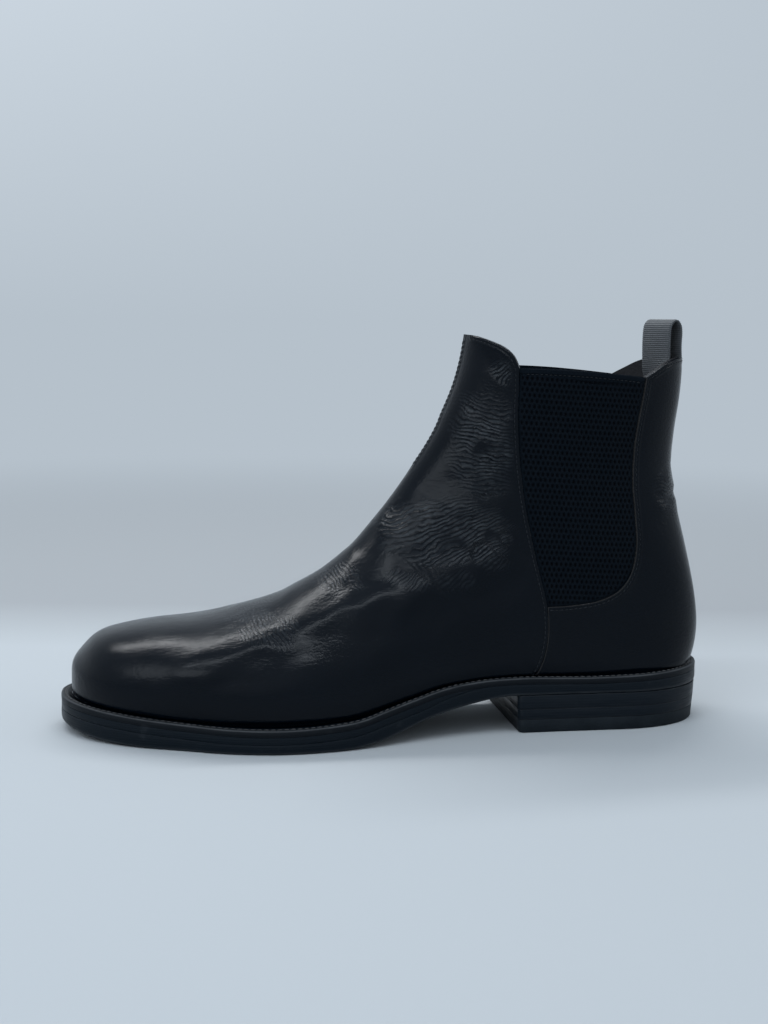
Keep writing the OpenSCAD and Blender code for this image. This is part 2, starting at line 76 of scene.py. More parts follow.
RIDGE_LINE = [(-150.4, 25), (-149.6, 31), (-146, 36.6), (-139, 43.6), (-130, 47.4), (-112, 50.9),
              (-90, 53.4), (-66, 59), (-43, 67.6), (-24, 80), (-8, 97), (7, 116), (22, 140),
              (30, 158), (34, 172), (36.5, 186), (38, 196)]
BACK_LINE = [(151.4, 28), (153.6, 35), (154.6, 45), (153.2, 60), (148, 84), (142.4, 106),
             (139.6, 124), (140.6, 140), (142.6, 158), (143.6, 176), (144, 184)]
LOW_SEAM = [(66, 27), (69.6, 36), (71.4, 46), (71, 60)]
GUSSET_FRONT = [(71, 60), (66, 81), (61.5, 102), (58.4, 124), (57, 148), (57.2, 171.3)]
GUSSET_REAR = [(71, 60), (83, 60.4), (97, 62.4), (107, 67.2), (113, 76), (115.2, 89), (114.4, 102),
               (113, 119), (114.2, 140), (118.5, 167.3)]
GUSSET_TOP = [(57.2, 171.3), (71.5, 171), (86, 170.3), (102, 169), (118.5, 167.3)]
FRONT_TOP = [(57.2, 171.3), (54.4, 177.2), (50, 181.2), (45, 183.6), (41.5, 185), (36, 187)]
BACK_TOP = [(118.5, 167.3), (123.8, 170.2), (131, 174), (137, 175.8), (143.7, 176.6)]

WELT_TOP = [(-155, 17), (-127, 14.5), (-100, 12.5), (-72, 11.5), (-50, 11.5), (-33, 12.2),
            (-20, 13.5), (-7, 17), (8, 21), (22, 24.5), (40, 26.5), (60, 27), (97, 26.3), (155, 28)]
TREAD = [(-155, 4.5), (-140, 1.8), (-122, 0.4), (-105, 0), (-35, 0), (-22, 0.6), (-8, 3.4),
         (3, 7.2), (14, 11), (34, 15.6), (BREAST_X - 2, HEEL_H), (155, HEEL_H)]
LATERAL_WIDTH = [(-155, 42), (-105, 46.5), (-78, 54), (-52, 56.5), (-20, 52), (10, 43.5),
                 (40, 37.5), (60, 36), (110, 36), (155, 36)]
MEDIAL_WIDTH = [(-155, 40), (-110, 45), (-80, 54.5), (-64, 55.5), (-40, 50), (-10, 38.5),
                (20, 31.5), (50, 32), (80, 35), (110, 36), (155, 36)]
MIDDLE_LINE = [(-155, 9), (-110, 4.5), (-60, 0.5), (0, 1), (60, 3), (155, 4.5)]
TOE_ROUND, TOE_POWER = -92, 2.25
HEEL_ROUND, HEEL_POWER = 110, 2.1
FEATHER_IN = [(-155, 4.6), (-110, 5.8), (-60, 6.6), (0, 5.5), (60, 4.4), (155, 3.6)]

# Against the fan's angle: half-width outside and inside, where the section is widest, how round
# its top is, how full its lower part is, and the middle's y.
SECTIONS = [(-90, 43, 41, 0.72, 0.86, 0.8, 9), (-80, 43.5, 43, 0.72, 0.88, 0.8, 4.5),
            (-70, 50, 50.5, 0.72, 0.92, 0.8, 1), (-62, 51.5, 49, 0.72, 0.98, 0.75, 0.5),
            (-55, 47.5, 42.5, 0.7, 1.05, 0.7, 0.7), (-48, 41.5, 36.5, 0.66, 1.1, 0.65, 1.5),
            (-41, 36.5, 34, 0.6, 1.08, 0.6, 3), (-34, 34.4, 34, 0.56, 1.02, 0.62, 4),
            (-27, 32.6, 32.6, 0.54, 1, 0.7, 4.4), (-20, 31, 31, 0.52, 0.98, 0.8, 4.5),
            (-12, 31.6, 31.6, 0.5, 0.96, 0.88, 4.5), (-7, 32, 32, 0.5, 0.96, 0.9, 4.5)]


# ---- Curves ----

def curve(points, x, k=1):
    """A smooth curve through points with rising first values, read at x. k picks the value."""
    p = np.asarray(points, float)
    q = np.clip(np.asarray(x, float), p[0, 0], p[-1, 0])
    i = np.clip(np.searchsorted(p[:, 0], q, side="right") - 1, 0, len(p) - 2)
    lo, hi = np.maximum(np.arange(len(p)) - 1, 0), np.minimum(np.arange(len(p)) + 1, len(p) - 1)
    slope = (p[hi, k] - p[lo, k]) / (p[hi, 0] - p[lo, 0])
    d = p[i + 1, 0] - p[i, 0]
    t = (q - p[i, 0]) / d
    return ((1 + 2 * t) * (1 - t) ** 2 * p[i, k] + t * (1 - t) ** 2 * slope[i] * d
            + t ** 2 * (3 - 2 * t) * p[i + 1, k] + t ** 2 * (t - 1) * slope[i + 1] * d)


def smooth(t):
    t = np.clip(t, 0, 1)
    return t * t * (3 - 2 * t)


def fade(d, reach):
    """1 where d is nothing, falling smoothly to 0 where it is reach."""
    return 1 - smooth(d / reach)


def bell(d, middle, width):
    return np.exp(-((d - middle) / width) ** 2)


def lip(d, radius):
    """How far a rounded edge has fallen at distance d from its rim, as a share of its radius."""
    return 1 - np.sqrt(1 - (1 - np.minimum(d / radius, 1)) ** 2)


def polar(line):
    """A side-view outline as angle and distance from the fan's line, with rising angles."""
    p = np.array(line, float) - FAN
    out = np.column_stack([np.degrees(np.arctan2(p[:, 1], p[:, 0])), np.hypot(p[:, 0], p[:, 1])])
    return out if out[0, 0] < out[-1, 0] else out[::-1]


RIDGE, BACK, LOW = polar(RIDGE_LINE), polar(BACK_LINE), polar(LOW_SEAM)
FRONT, REAR, HEM = polar(GUSSET_FRONT), polar(GUSSET_REAR), polar(GUSSET_TOP)
TOP_FRONT, TOP_BACK = polar(FRONT_TOP), polar(BACK_TOP)
FAN_HEEL, FAN_LOW, FAN_CORNER, FAN_HEM, FAN_REAR = BACK[0, 0], LOW[0, 0], FRONT[0, 0], HEM[0, 0], HEM[-1, 0]
FAN_PEAK = TOP_BACK[-1, 0]


def vamp_end(a):
    return np.where(a < FAN_LOW, 1e3, np.where(a < FAN_CORNER, curve(LOW, a), np.where(
        a < FAN_HEM, curve(FRONT, a), curve(TOP_FRONT, a))))


def gusset_start(a):
    return np.where(a < FAN_HEM, curve(FRONT, a), curve(HEM, a))


def quarter_start(a):
    upper = np.where(a < FAN_REAR, curve(REAR, a), curve(TOP_BACK, a))
    return np.where(a < FAN_CORNER, curve(LOW, a), upper)


# ---- Plan of the sole ----

def rounding(x, inset):
    t = np.clip((TOE_ROUND - x) / (TOE_ROUND + HALF - inset), 0, 1)
    h = np.clip((x - HEEL_ROUND) / (HALF - inset - HEEL_ROUND), 0, 1)
    return (1 - t ** TOE_POWER) ** (1 / TOE_POWER) * (1 - h ** HEEL_POWER) ** (1 / HEEL_POWER)


def plan_width(side, x, inset):
    wide = np.where(side < 0, curve(LATERAL_WIDTH, x), curve(MEDIAL_WIDTH, x))
    return (wide - inset) * rounding(x, inset)


def welt_top(x):
    return curve(WELT_TOP, x)


def tread(x):
    return np.where(x > BREAST_X - 3, HEEL_H, np.clip(curve(TREAD, x), 0, HEEL_H))


def midsole_depth(x):
    return MIDSOLE_T * fade(x - 5, 38)


# ---- Surface of the upper ----

def section(a):
    """What each section needs, for an array of angles."""
    a = np.asarray(a, float)
    c, s = np.cos(np.radians(a)), np.sin(np.radians(a))
    closed = a >= FAN_HEEL - 0.001
    r = np.full(a.shape, 200.0)
    for _ in range(14):
        r = (FAN[1] - welt_top(FAN[0] + r * c)) / -s
    far = np.where(closed, curve(BACK, a), r)
    x = FAN[0] + far * c
    toe = np.where(closed, 1, rounding(np.minimum(x, 0), 4.6))
    inset = curve(FEATHER_IN, x)
    wide = [np.maximum(1.7, curve(SECTIONS, a, k) * toe) for k in (1, 2)]
    foot = [np.where(closed, 0.05, np.maximum(0.4, np.minimum(w - 0.4, plan_width(side, x, inset))))
            for side, w in zip(SIDES, wide)]
    widest, top, full, y = (curve(SECTIONS, a, k) for k in (3, 4, 5, 6))
    return {"c": c, "s": s, "near": curve(RIDGE, a), "far": far, "wide": wide, "foot": foot,
            "closed": closed, "widest": widest, "top": top, "full": full, "y": y}


def on(S, side, v):
    """Points of the sections. v runs from 0 at the ridge over 1 at the widest to 2 at the far end."""
    side, v = np.where(v < 0, -side, side), np.abs(v)
    side = np.where((v > 2) & S["closed"], -side, side)
    v = np.where(v > 2, np.where(S["closed"], 4 - v, 2), v)
    wide = np.where(side < 0, S["wide"][0], S["wide"][1])
    foot = np.where(side < 0, S["foot"][0], S["foot"][1])
    q = np.pi / 2 * v
    upper = v < 1
    t = np.where(upper, S["widest"] * (1 - np.cos(q)),
                 S["widest"] + (1 - S["widest"]) * np.sin(q - np.pi / 2))
    rise = np.abs(np.sin(np.where(upper, q, 1))) ** S["top"]
    fall = np.abs(np.cos(np.where(upper, 0, q - np.pi / 2))) ** S["full"]
    w = np.where(upper, wide * rise, foot + (wide - foot) * fall)
    r = S["near"] + t * (S["far"] - S["near"])
    return np.stack([FAN[0] + r * S["c"], S["y"] + side * w, FAN[1] + r * S["s"]], -1)


def v_at(S, r):
    t = np.clip((r - S["near"]) / (S["far"] - S["near"]), 0, 1)
    above = np.degrees(np.arccos(np.clip(1 - t / S["widest"], -1, 1))) / 90
    below = 1 + np.degrees(np.arcsin(np.clip((t - S["widest"]) / (1 - S["widest"]), -1, 1))) / 90
    return np.where(t < S["widest"], above, below)


def unit(v):
    return v / np.maximum(np.linalg.norm(v, axis=-1, keepdims=True), 1e-12)


def skin(a, side, v):
    """Points of the upper's surface and its outward normals. a is a line or a column of angles."""
    nudge, d = 0.12, 0.02
    S, before, after = section(a), section(a - nudge), section(a + nudge)
    p = on(S, side, v)
    q = np.where(S["closed"], v, np.minimum(v, 1.9))
    n = unit(np.cross(on(after, side, q) - on(before, side, q), on(S, side, q + d) - on(S, side, q - d)))
    foot = on(S, side, q)
    middle = FAN[0] + (S["near"] + S["far"]) / 2 * S["c"]
    z = foot[..., 2]
    centre = np.stack(np.broadcast_arrays(np.maximum(middle, foot[..., 0] - 8), S["y"] + 0 * z,
                                          np.where(z < 60, z - 4, z)), -1)
    flip = np.sum(n * (foot - centre), -1, keepdims=True) < 0
    return p, np.where(flip, -n, n)


# ---- Meshes ----

def add(name, data):
    obj = bpy.data.objects.new(name, data)
    bpy.context.scene.collection.objects.link(obj)
    return obj


def new_mesh(name, points, faces, material):
    mesh = bpy.data.meshes.new(name)
    mesh.from_pydata(np.asarray(points, float) * MM, [], faces)
    mesh.polygons.foreach_set("use_smooth", np.ones(len(mesh.polygons), bool))
    mesh.materials.append(material)
    return add(name, mesh)


def on_boot(obj, slot, *nodes):
    """Fixes a piece to the boot's body, in the place of the CAD nodes that it shows."""
    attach(obj, "boot")
    if nodes:
        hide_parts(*nodes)


def edit(obj, change):
    """Lets change work on the object's mesh."""
    bm = bmesh.new()
    bm.from_mesh(obj.data)
    change(bm)
    bm.to_mesh(obj.data)
    bm.free()


def drop_loose(bm):
    """Removes the points that no face uses."""
    bmesh.ops.delete(bm, geom=[v for v in bm.verts if not v.link_faces], context="VERTS")


def attribute(obj, name, values):
    layer = obj.data.attributes.new(name, "FLOAT", "POINT")
    layer.data.foreach_set("value", np.asarray(values, np.float32).ravel())


def quads(ids):
    """The cells of a grid of point numbers."""
    return np.stack([ids[:-1, :-1], ids[:-1, 1:], ids[1:, 1:], ids[1:, :-1]], -1)


def sheet(name, outer, inner, material, missing=None, zipped=False, values=None):
    """A closed shell between two grids of points. missing marks cells of the grid that aren't there,
    and zipped closes the toe by folding the first row on itself."""
    rows, cols = outer.shape[:2]
    ids = np.arange(rows * cols).reshape(rows, cols)
    if zipped:
        ids[0] = np.where(np.arange(cols) > (cols - 1) / 2, ids[0, ::-1], ids[0])
    there = np.ones((rows + 1, cols + 1), bool)
    there[[0, -1], :] = there[:, [0, -1]] = False
    if missing is not None:
        there[1:-1, 1:-1] &= ~missing
    cell = there[1:-1, 1:-1]
    faces = [quads(ids)[cell]]
    step = rows * cols
    faces.append(faces[0][:, ::-1] + step)

    def wall(mask, a, b):
        a, b = a[mask], b[mask]
        faces.append(np.stack([b, a, a + step, b + step], -1))

    wall(cell & ~there[1:-1, :-2], ids[1:, :-1], ids[:-1, :-1])
    wall(cell & ~there[1:-1, 2:], ids[:-1, 1:], ids[1:, 1:])
    top = cell & ~there[:-2, 1:-1]
    if zipped:
        top[0] = False
    wall(top, ids[:-1, :-1], ids[:-1, 1:])
    wall(cell & ~there[2:, 1:-1], ids[1:, 1:], ids[1:, :-1])
    clean = []
    for f in np.concatenate(faces).tolist():
        corners = [c for k, c in enumerate(f) if c != f[k - 1]]
        if len(corners) > 2 and len(set(corners)) == len(corners):
            clean.append(corners)
    obj = new_mesh(name, np.concatenate([outer.reshape(-1, 3), inner.reshape(-1, 3)]), clean, material)
    for key, grid in (values or {}).items():
        attribute(obj, key, np.concatenate([grid.ravel(), grid.ravel()]))
    edit(obj, drop_loose)
    obj.data.set_sharp_from_angle(angle=math.radians(55))
    return obj


# ---- Materials ----

class Nodes:
    """Short ways to add nodes to a shader tree."""

    def __init__(self, tree):
        self.tree = tree

    def put(self, socket, value):
        if isinstance(value, bpy.types.NodeSocket):
            self.tree.links.new(value, socket)
        else:
            socket.default_value = (*value, 1) if socket.type == "RGBA" else value

    def node(self, kind, inputs=None, **properties):
        made = self.tree.nodes.new("ShaderNode" + kind)
        for key, value in properties.items():
            setattr(made, key, value)
        for key, value in (inputs or {}).items():
            self.put(made.inputs[key], value)
        return made

    def math(self, operation, a, b=0.0, c=0.0):
        return self.node("Math", {0: a, 1: b, 2: c}, operation=operation).outputs[0]

    def times(self, a, b):
        return self.math("MULTIPLY", a, b)

    def shares(self, a, of_a, b, of_b):
        """a times of_a, plus b times of_b."""
        return self.math("MULTIPLY_ADD", a, of_a, self.times(b, of_b))

    def span(self, value, low, high, start=0.0, end=1.0):
        return self.node("MapRange", {"Value": value, "From Min": low, "From Max": high, "To Min": start,
                                      "To Max": end}).outputs["Result"]

    def tones(self, value, *stops):
        """A colour that follows value through stops of (position, colour)."""
        ramp = self.node("ValToRGB", {"Fac": value})
        elements = ramp.color_ramp.elements
        for k, (position, color) in enumerate(stops):
            elements[k].position, elements[k].color = position, (*color, 1)
        return ramp.outputs["Color"]

    def mix(self, share, first, second):
        return self.node("Mix", {0: share, 6: first, 7: second}, data_type="RGBA").outputs[2]


class Look(Nodes):
    """A procedural material: a Principled shader and what drives it. Lengths are in millimetres."""

    def __init__(self, name, base, roughness, **sockets):
        self.material = bpy.data.materials.new(name)
        self.material.use_nodes = True
        super().__init__(self.material.node_tree)
        self.shader = self.tree.nodes["Principled BSDF"]
        self.place = self.node("TexCoord").outputs["Object"]
        self.height = None
        self.set("Base Color", base)
        self.set("Roughness", roughness)
        for key, value in sockets.items():
            self.set(key.replace("_", " "), value)

    def set(self, socket, value):
        self.put(self.shader.inputs[socket], value)

    def stretched(self, turn=(0, 0, 0), scale=(1, 1, 1)):
        return self.node("Mapping", {"Vector": self.place, "Rotation": turn, "Scale": scale}).outputs[0]

    def noise(self, size, detail=3.0, place=None, distortion=0.0):
        return self.node("TexNoise", {"Vector": place or self.place, "Scale": 1000 / size, "Detail": detail,
                                      "Distortion": distortion}).outputs["Fac"]

    def cells(self, size):
        return self.node("TexVoronoi", {"Vector": self.place, "Scale": 1000 / size}).outputs["Distance"]

    def wave(self, pitch, direction, distortion=0.0, place=None):
        return self.node("TexWave", {"Vector": place or self.place, "Scale": 314.16 / pitch,
                                     "Distortion": distortion, "Detail": 2.0},
                         wave_type="BANDS", bands_direction=direction).outputs["Fac"]

    def attribute(self, name):
        return self.node("Attribute", attribute_name=name).outputs["Fac"]

    def color(self, value, low, dark, high, light):
        """Lets the colour follow value, from dark at low to light at high."""
        self.set("Base Color", self.tones(value, (low, dark), (high, light)))

    def mottle(self, noise, low, high):
        """Lets the roughness wander from low to high with a noise."""
        self.set("Roughness", self.span(noise, 0.3, 0.7, low, high))

    def bump(self, value, strength, depth):
        """Adds a height map over those before it. depth is in millimetres."""
        inputs = {"Height": value, "Strength": strength, "Distance": depth * MM}
        if self.height is not None:
            inputs["Normal"] = self.height
        self.height = self.node("Bump", inputs).outputs[0]
        self.set("Normal", self.height)


CREST_HIGHLIGHT = (0.028, 0.033, 0.038)      # the tops of the wrinkles, drawn lighter: a painted highlight where light catches them
RAW = (0.014, 0.0135, 0.0135)      # a cut edge


def leather(name, dark, light, rough, grain, coat=0.0, worn=False):
    """Black leather: soft clouds of tone, fine grain, and wrinkles that follow the mesh's phase."""
    look = Look(name, dark, rough, Coat_Weight=coat, Coat_Roughness=0.14, Coat_IOR=1.4,
                Specular_IOR_Level=0.06 + 0.7 * coat)
    fine, creased = look.noise(1.2, 4), look.attribute("creased")
    tone = look.tones(look.shares(look.noise(34, 2), 0.7, fine, 0.3), (0.32, dark), (0.68, light))
    look.mottle(look.noise(11, 4), rough - 0.05, rough + 0.07)
    look.bump(look.shares(fine, 0.8, look.cells(1.0), 0.5), 0.8 * grain, 0.11)
    wandering = look.math("MULTIPLY_ADD", look.noise(5, 3), 4.2, look.attribute("phase"))
    valleys = look.math("POWER", look.math("ABSOLUTE", look.math("SINE", wandering)), 0.7)
    look.bump(look.times(valleys, creased), 1.0, 0.3)
    crumpled = look.noise(1.7, 4, look.stretched((0, 0.35, 0), (0.45, 1, 1)), 0.6)
    look.bump(look.times(crumpled, look.math("MULTIPLY_ADD", creased, 0.66, 0.3)), 0.9, 0.42)
    # worn adds a painted highlight on the wrinkles' tops, and the colour of the raw cut edges
    if worn:
        crest_highlight = look.times(look.span(look.times(valleys, crumpled), 0.3, 0.62), creased)
        cut = look.tones(look.noise(0.9, 3), (0.3, RAW), (0.7, tuple(1.7 * c for c in RAW)))
        tone = look.mix(look.attribute("raw"), look.mix(crest_highlight, tone, CREST_HIGHLIGHT), cut)
    look.set("Base Color", tone)
    return look.material


def stretch_weave():
    """Woven elastic: cords around open cells, with the rib of the threads over them. The cells are coloured
    near black as painted shade inside the openings.
    """
    cell_shade, cord = (0.0001, 0.0004, 0.0012), (0.0036, 0.0066, 0.0106)
    look = Look("elastic", cord, 0.85, Specular_IOR_Level=0.04, Sheen_Weight=0.02)
    open_cell, threads = look.attribute("cell"), look.wave(0.55, "X", 0.6)
    worn = look.tones(look.shares(look.noise(1.1, 3), 0.5, threads, 0.5),
                      (0.25, tuple(0.45 * c for c in cord)), (0.7, cord))
    look.set("Base Color", look.mix(open_cell, worn, cell_shade))
    look.mottle(look.noise(6, 2), 0.77, 0.93)
    look.bump(threads, 0.5, 0.1)
    look.bump(look.noise(0.5, 2), 0.4, 0.05)
    return look.material


def sewing_thread(name, dark, light, sheen):
    look = Look(name, dark, 0.6, Sheen_Weight=sheen, Sheen_Roughness=0.45, Specular_IOR_Level=0.12)
    twist = look.math("MAXIMUM", look.wave(0.4, "X"), look.wave(0.4, "Z"))
    look.color(look.shares(look.noise(3, 3), 0.5, twist, 0.5), 0.3, dark, 0.75, light)
    look.mottle(look.noise(6, 2), 0.52, 0.68)
    look.bump(twist, 0.6, 0.12)
    look.bump(look.noise(0.5, 2), 0.4, 0.05)
    return look.material


def plain(name, dark, light, rough, size, depth=0.08, strength=0.5, **sockets):
    """A surface with two noise tones, mottled roughness and an uneven face."""
    look = Look(name, dark, rough, **sockets)
    grain = look.noise(size, 4)
    look.color(look.shares(look.noise(12 * size, 2), 0.5, grain, 0.5), 0.35, dark, 0.65, light)
    look.mottle(grain, rough - 0.06, rough + 0.08)
    look.bump(grain, strength, depth)
    return look


def edge_ink(name, dark, light, lines, pitch, coat):
    """A sole edge, stacked of layers, sanded, inked and waxed: fine lines along it, spots worn by rubbing,
    and lighter bevels that are partly worn and partly a painted highlight.
    """
    look = Look(name, dark, 0.42, Coat_Weight=coat, Coat_Roughness=0.3, Coat_IOR=1.35,
                Specular_IOR_Level=0.1)
    along = look.stretched(scale=(0.12, 0.12, 1))
    streaks, spots = look.noise(1.6, 4, along), look.noise(7, 4)
    # The lighter lines along the bevels are partly worn by rubbing and partly a painted highlight; the spots
    # are wear.
    rubbed_and_highlight = look.math("MAXIMUM", look.attribute("rubbed_and_highlight"), look.span(spots, 0.62, 0.8, 0.0, 0.35))
    look.color(look.times(rubbed_and_highlight, look.span(streaks, 0.3, 0.7, 0.4, 1.0)), 0.0, dark, 1.0, light)
    look.set("Roughness", look.span(look.math("ADD", streaks, spots), 0.7, 1.3, 0.32, 0.56))
    look.bump(look.wave(pitch, "Z", 1.2, along), 0.35 * lines, 0.12)
    look.bump(look.noise(0.6, 3), 0.3, 0.05)
    look.bump(streaks, 0.5, 0.12)
    return look.material


BLACK, BLACK_LIGHT = (0.0006, 0.002, 0.0042), (0.0009, 0.0026, 0.0053)
upper_leather = leather("upper_leather", BLACK, BLACK_LIGHT, 0.19, 1.0, 0.06, worn=True)
lining_leather = leather("lining_leather", (0.016, 0.016, 0.018), (0.028, 0.028, 0.03), 0.6, 1.6)
sock_leather = leather("sock_leather", (0.02, 0.02, 0.022), (0.034, 0.034, 0.036), 0.55, 1.8)
elastic = stretch_weave()
thread = sewing_thread("thread", (0.003, 0.0045, 0.0065), (0.016, 0.019, 0.023), 0.05)
welt_thread = sewing_thread("welt_thread", (0.02, 0.02, 0.021), (0.06, 0.06, 0.062), 0.2)
sole_edge = edge_ink("sole_edge", (0.002, 0.005, 0.0085), (0.045, 0.05, 0.056), 1.0, 1.1, 0.1)
welt_edge = edge_ink("welt_leather", (0.0012, 0.0028, 0.005), (0.055, 0.059, 0.064), 0.5, 1.1, 0.08)
heel_edge = edge_ink("heel_leather", (0.0018, 0.0048, 0.0085), (0.04, 0.045, 0.05), 1.0, 1.3, 0.1)


def sole_bottom():
    look = plain("sole_leather", (0.011, 0.011, 0.012), (0.03, 0.029, 0.029), 0.5, 1.4, 0.08, 0.6)
    look.bump(look.noise(5, 4, look.stretched(scale=(0.25, 1, 1))), 0.5, 0.15)
    return look.material


def rubber():
    look = plain("top_lift_rubber", (0.003, 0.006, 0.009), (0.009, 0.013, 0.017), 0.6, 0.9, 0.05, 0.4,
                 Specular_IOR_Level=0.15)
    look.bump(look.wave(0.9, "Z", 0.3), 0.25, 0.08)
    look.bump(look.noise(4, 3), 0.4, 0.1)
    return look.material


def grosgrain():
    look = Look("tab_webbing", (0.1, 0.105, 0.112), 0.72, Sheen_Weight=0.35, Sheen_Roughness=0.4)
    yarn = look.attribute("rib")
    across = look.wave(0.42, "X", 0.4, look.stretched((0, 0, math.radians(-LOOP_TURN))))
    look.color(look.shares(look.noise(9, 3), 0.35, yarn, 0.6),
               0.05, (0.016, 0.018, 0.021), 0.8, (0.058, 0.064, 0.072))
    look.set("Roughness", look.span(yarn, 0, 1, 0.85, 0.62))
    look.bump(across, 0.5, 0.06)
    look.bump(look.noise(0.4, 2), 0.35, 0.04)
    return look.material


def granular(name, dark, light, size):
    look = Look(name, dark, 0.85)
    grains = look.cells(size)
    look.color(look.shares(look.noise(size * 0.6, 3), 0.6, grains, 0.5), 0.25, dark, 0.75, light)
    look.set("Roughness", look.span(grains, 0, 0.7, 0.75, 0.95))
    look.bump(grains, 0.8, 0.3)
    return look.material


bottom_leather, heel_rubber, webbing = sole_bottom(), rubber(), grosgrain()
cork = granular("cork", (0.2, 0.12, 0.06), (0.55, 0.38, 0.22), 2.2)
foam = granular("foam", (0.5, 0.44, 0.28), (0.75, 0.68, 0.45), 0.8)
insole_leather = plain("insole_leather", (0.36, 0.24, 0.14), (0.56, 0.41, 0.27), 0.62, 1.6).material
stiffener = plain("stiffener", (0.4, 0.33, 0.24), (0.6, 0.52, 0.4), 0.8, 1.0).material
brass = plain("brass", (0.5, 0.36, 0.13), (0.78, 0.6, 0.28), 0.3, 0.8, 0.02, 0.3, Metallic=1.0).material


def spring_steel():
    look = plain("steel", (0.4, 0.41, 0.43), (0.6, 0.61, 0.63), 0.35, 1.2, 0.02, 0.3, Metallic=1.0)
    look.bump(look.noise(0.8, 3, look.stretched(scale=(0.05, 1, 1))), 0.3, 0.03)
    return look.material


# The CAD nodes that stay, hidden inside, only get a material.
for node_name, finish in (("heel_counter", stiffener), ("insole_rib", stiffener),
                          ("insole", insole_leather), ("heel_seat", insole_leather),
                          ("cork_filler", cork), ("shank", spring_steel()), ("heel_nails", brass)):
    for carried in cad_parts[node_name].material_slots:
        carried.material = finish


# ---- Surface detail ----

def line_distance(x, z, line):
    """Distance in the side view from points to a polyline."""
    best = np.full(np.shape(x), 1e9)
    p = np.array(line, float)
    for (x0, z0), (x1, z1) in zip(p[:-1], p[1:]):
        length = (x1 - x0) ** 2 + (z1 - z0) ** 2
        t = np.clip(((x - x0) * (x1 - x0) + (z - z0) * (z1 - z0)) / length, 0, 1)
        best = np.minimum(best, np.hypot(x - x0 - t * (x1 - x0), z - z0 - t * (z1 - z0)))
    return best


def waves(x, y, z, size, seed):
    """Smooth noise between about -1 and 1: waves in directions spread over the sphere."""
    total = 0
    for k in range(7):
        turn, tilt = 2.4 * k + seed, math.asin(2 * (k + 0.5) / 7 - 1)
        d = (math.cos(turn) * math.cos(tilt), math.sin(tilt), math.sin(turn) * math.cos(tilt))
        scale = 2 * math.pi / size * (0.7 + 0.12 * k)
        total = total + np.sin(scale * (x * d[0] + y * d[1] + z * d[2]) + 1.7 * k * k + 3.1 * seed)
    return total / 3.2


def patch(x, z, centre, radii):
    """1 in the middle of an ellipse, falling smoothly to 0 at its rim."""
    d = np.hypot((x - centre[0]) / radii[0], (z - centre[1]) / radii[1])
    return 1 - smooth(d)


def creases(phase):
    """Narrow valleys between low rises, one for every 2.4 valleys that the material draws."""
    return 0.35 - (1 - np.abs(np.sin(phase / 2.4))) ** 2


# Soft folds of the worn-in front, as a side-view line, its width and its height.
FOLDS = [([(-98, 35.7), (-62, 49), (-32, 61), (0, 65), (19, 74), (33, 77), (46, 85)], 6.5, 1.5),
         ([(-80, 30), (-40, 47), (2, 52), (30, 64), (50, 68)], 8, -0.8),
         ([(-45, 64.5), (-33, 72), (-21, 81)], 4.5, 0.6),
         ([(-58, 56), (-40, 60), (-25, 68)], 5, -0.5),
         ([(8, 84), (26, 90), (44, 91)], 5, -0.6),
         ([(0, 94), (22, 103), (46, 106)], 5.5, 0.55),
         ([(18, 112), (36, 119), (52, 120)], 6, -0.5),
         ([(30, 150), (42, 138), (52, 134)], 6, 0.4),
         ([(44, 176), (50, 168), (53, 160)], 4, -0.3)]
# Wrinkled areas: middle, radii, the point that the wrinkles spread from, their pitch, and their depth.
WRINKLES = [((24, 95), (42, 23), (112, 132), 1.8, 0.3), ((42, 88), (18, 15), (74, 108), 1.6, 0.2),
            ((42, 136), (20, 34), (190, 112), 1.9, 0.22), ((51, 170), (8, 9), (80, 190), 1.6, 0.2),
            ((-62, 53), (22, 11), (-120, 160), 1.7, 0.12), ((-28, 73), (18, 10), (-110, 180), 1.8, 0.12),
            ((14, 74), (32, 9), (-50, 20), 1.7, 0.05)]


def front_relief(p):
    """How far the front's leather stands proud of its smooth shape, how wrinkled it is, and the phase of
    its wrinkles. The material draws the fine wrinkles, with a valley at each half turn of the phase."""
    x, y, z = p[..., 0], p[..., 1], p[..., 2]
    moved_x, moved_z = x + 1.6 * waves(x, y, z, 19, 1), z + 1.6 * waves(x, y, z, 17, 2)
    height = 0.2 * waves(x, y, z, 38, 3) * smooth((x + 70) / 45)
    for line, width, rise in FOLDS:
        height = height + rise * bell(line_distance(moved_x, moved_z, line), 0, width)
    most, second, phase = np.zeros(x.shape), np.zeros(x.shape), np.zeros(x.shape)
    for k, (centre, radii, source, pitch, depth) in enumerate(WRINKLES):
        there = patch(moved_x, moved_z, centre, radii) * (0.7 + 0.45 * waves(x, y, z, 13, 4 + k))
        there = np.clip(1.6 * there, 0, 1)
        reach = math.hypot(centre[0] - source[0], centre[1] - source[1])
        turned = np.pi / pitch * reach * np.arctan2(z - source[1], x - source[0])
        turned = turned + 1.6 * waves(x, y, z, 17, 5 + k) + 0.6 * waves(x, y, z, 6, 9 + k)
        height = height + 0.5 * depth * there * creases(turned)
        there = there * min(1.0, 0.2 + 3.6 * depth)
        phase = np.where(there > most, turned, phase)
        second = np.maximum(second, np.minimum(most, there))
        most = np.maximum(most, there)
    return height, most * smooth((most - second) / 0.25), phase


def nearest(points, others, k):
    """From each of points to the nearest of others: 0 gives its place, and 2 the distance."""
    tree = KDTree(len(others))
    for i, p in enumerate(others.tolist()):
        tree.insert(p, i)
    tree.balance()
    return np.array([tree.find(p)[k] for p in points.reshape(-1, 3).tolist()])


def edge_distance(p, *edges):
    """Distance from each point of a grid to the nearest of some lines."""
    return nearest(p, np.concatenate([edge[:, :3] for edge in edges]), 2).reshape(p.shape[:-1])


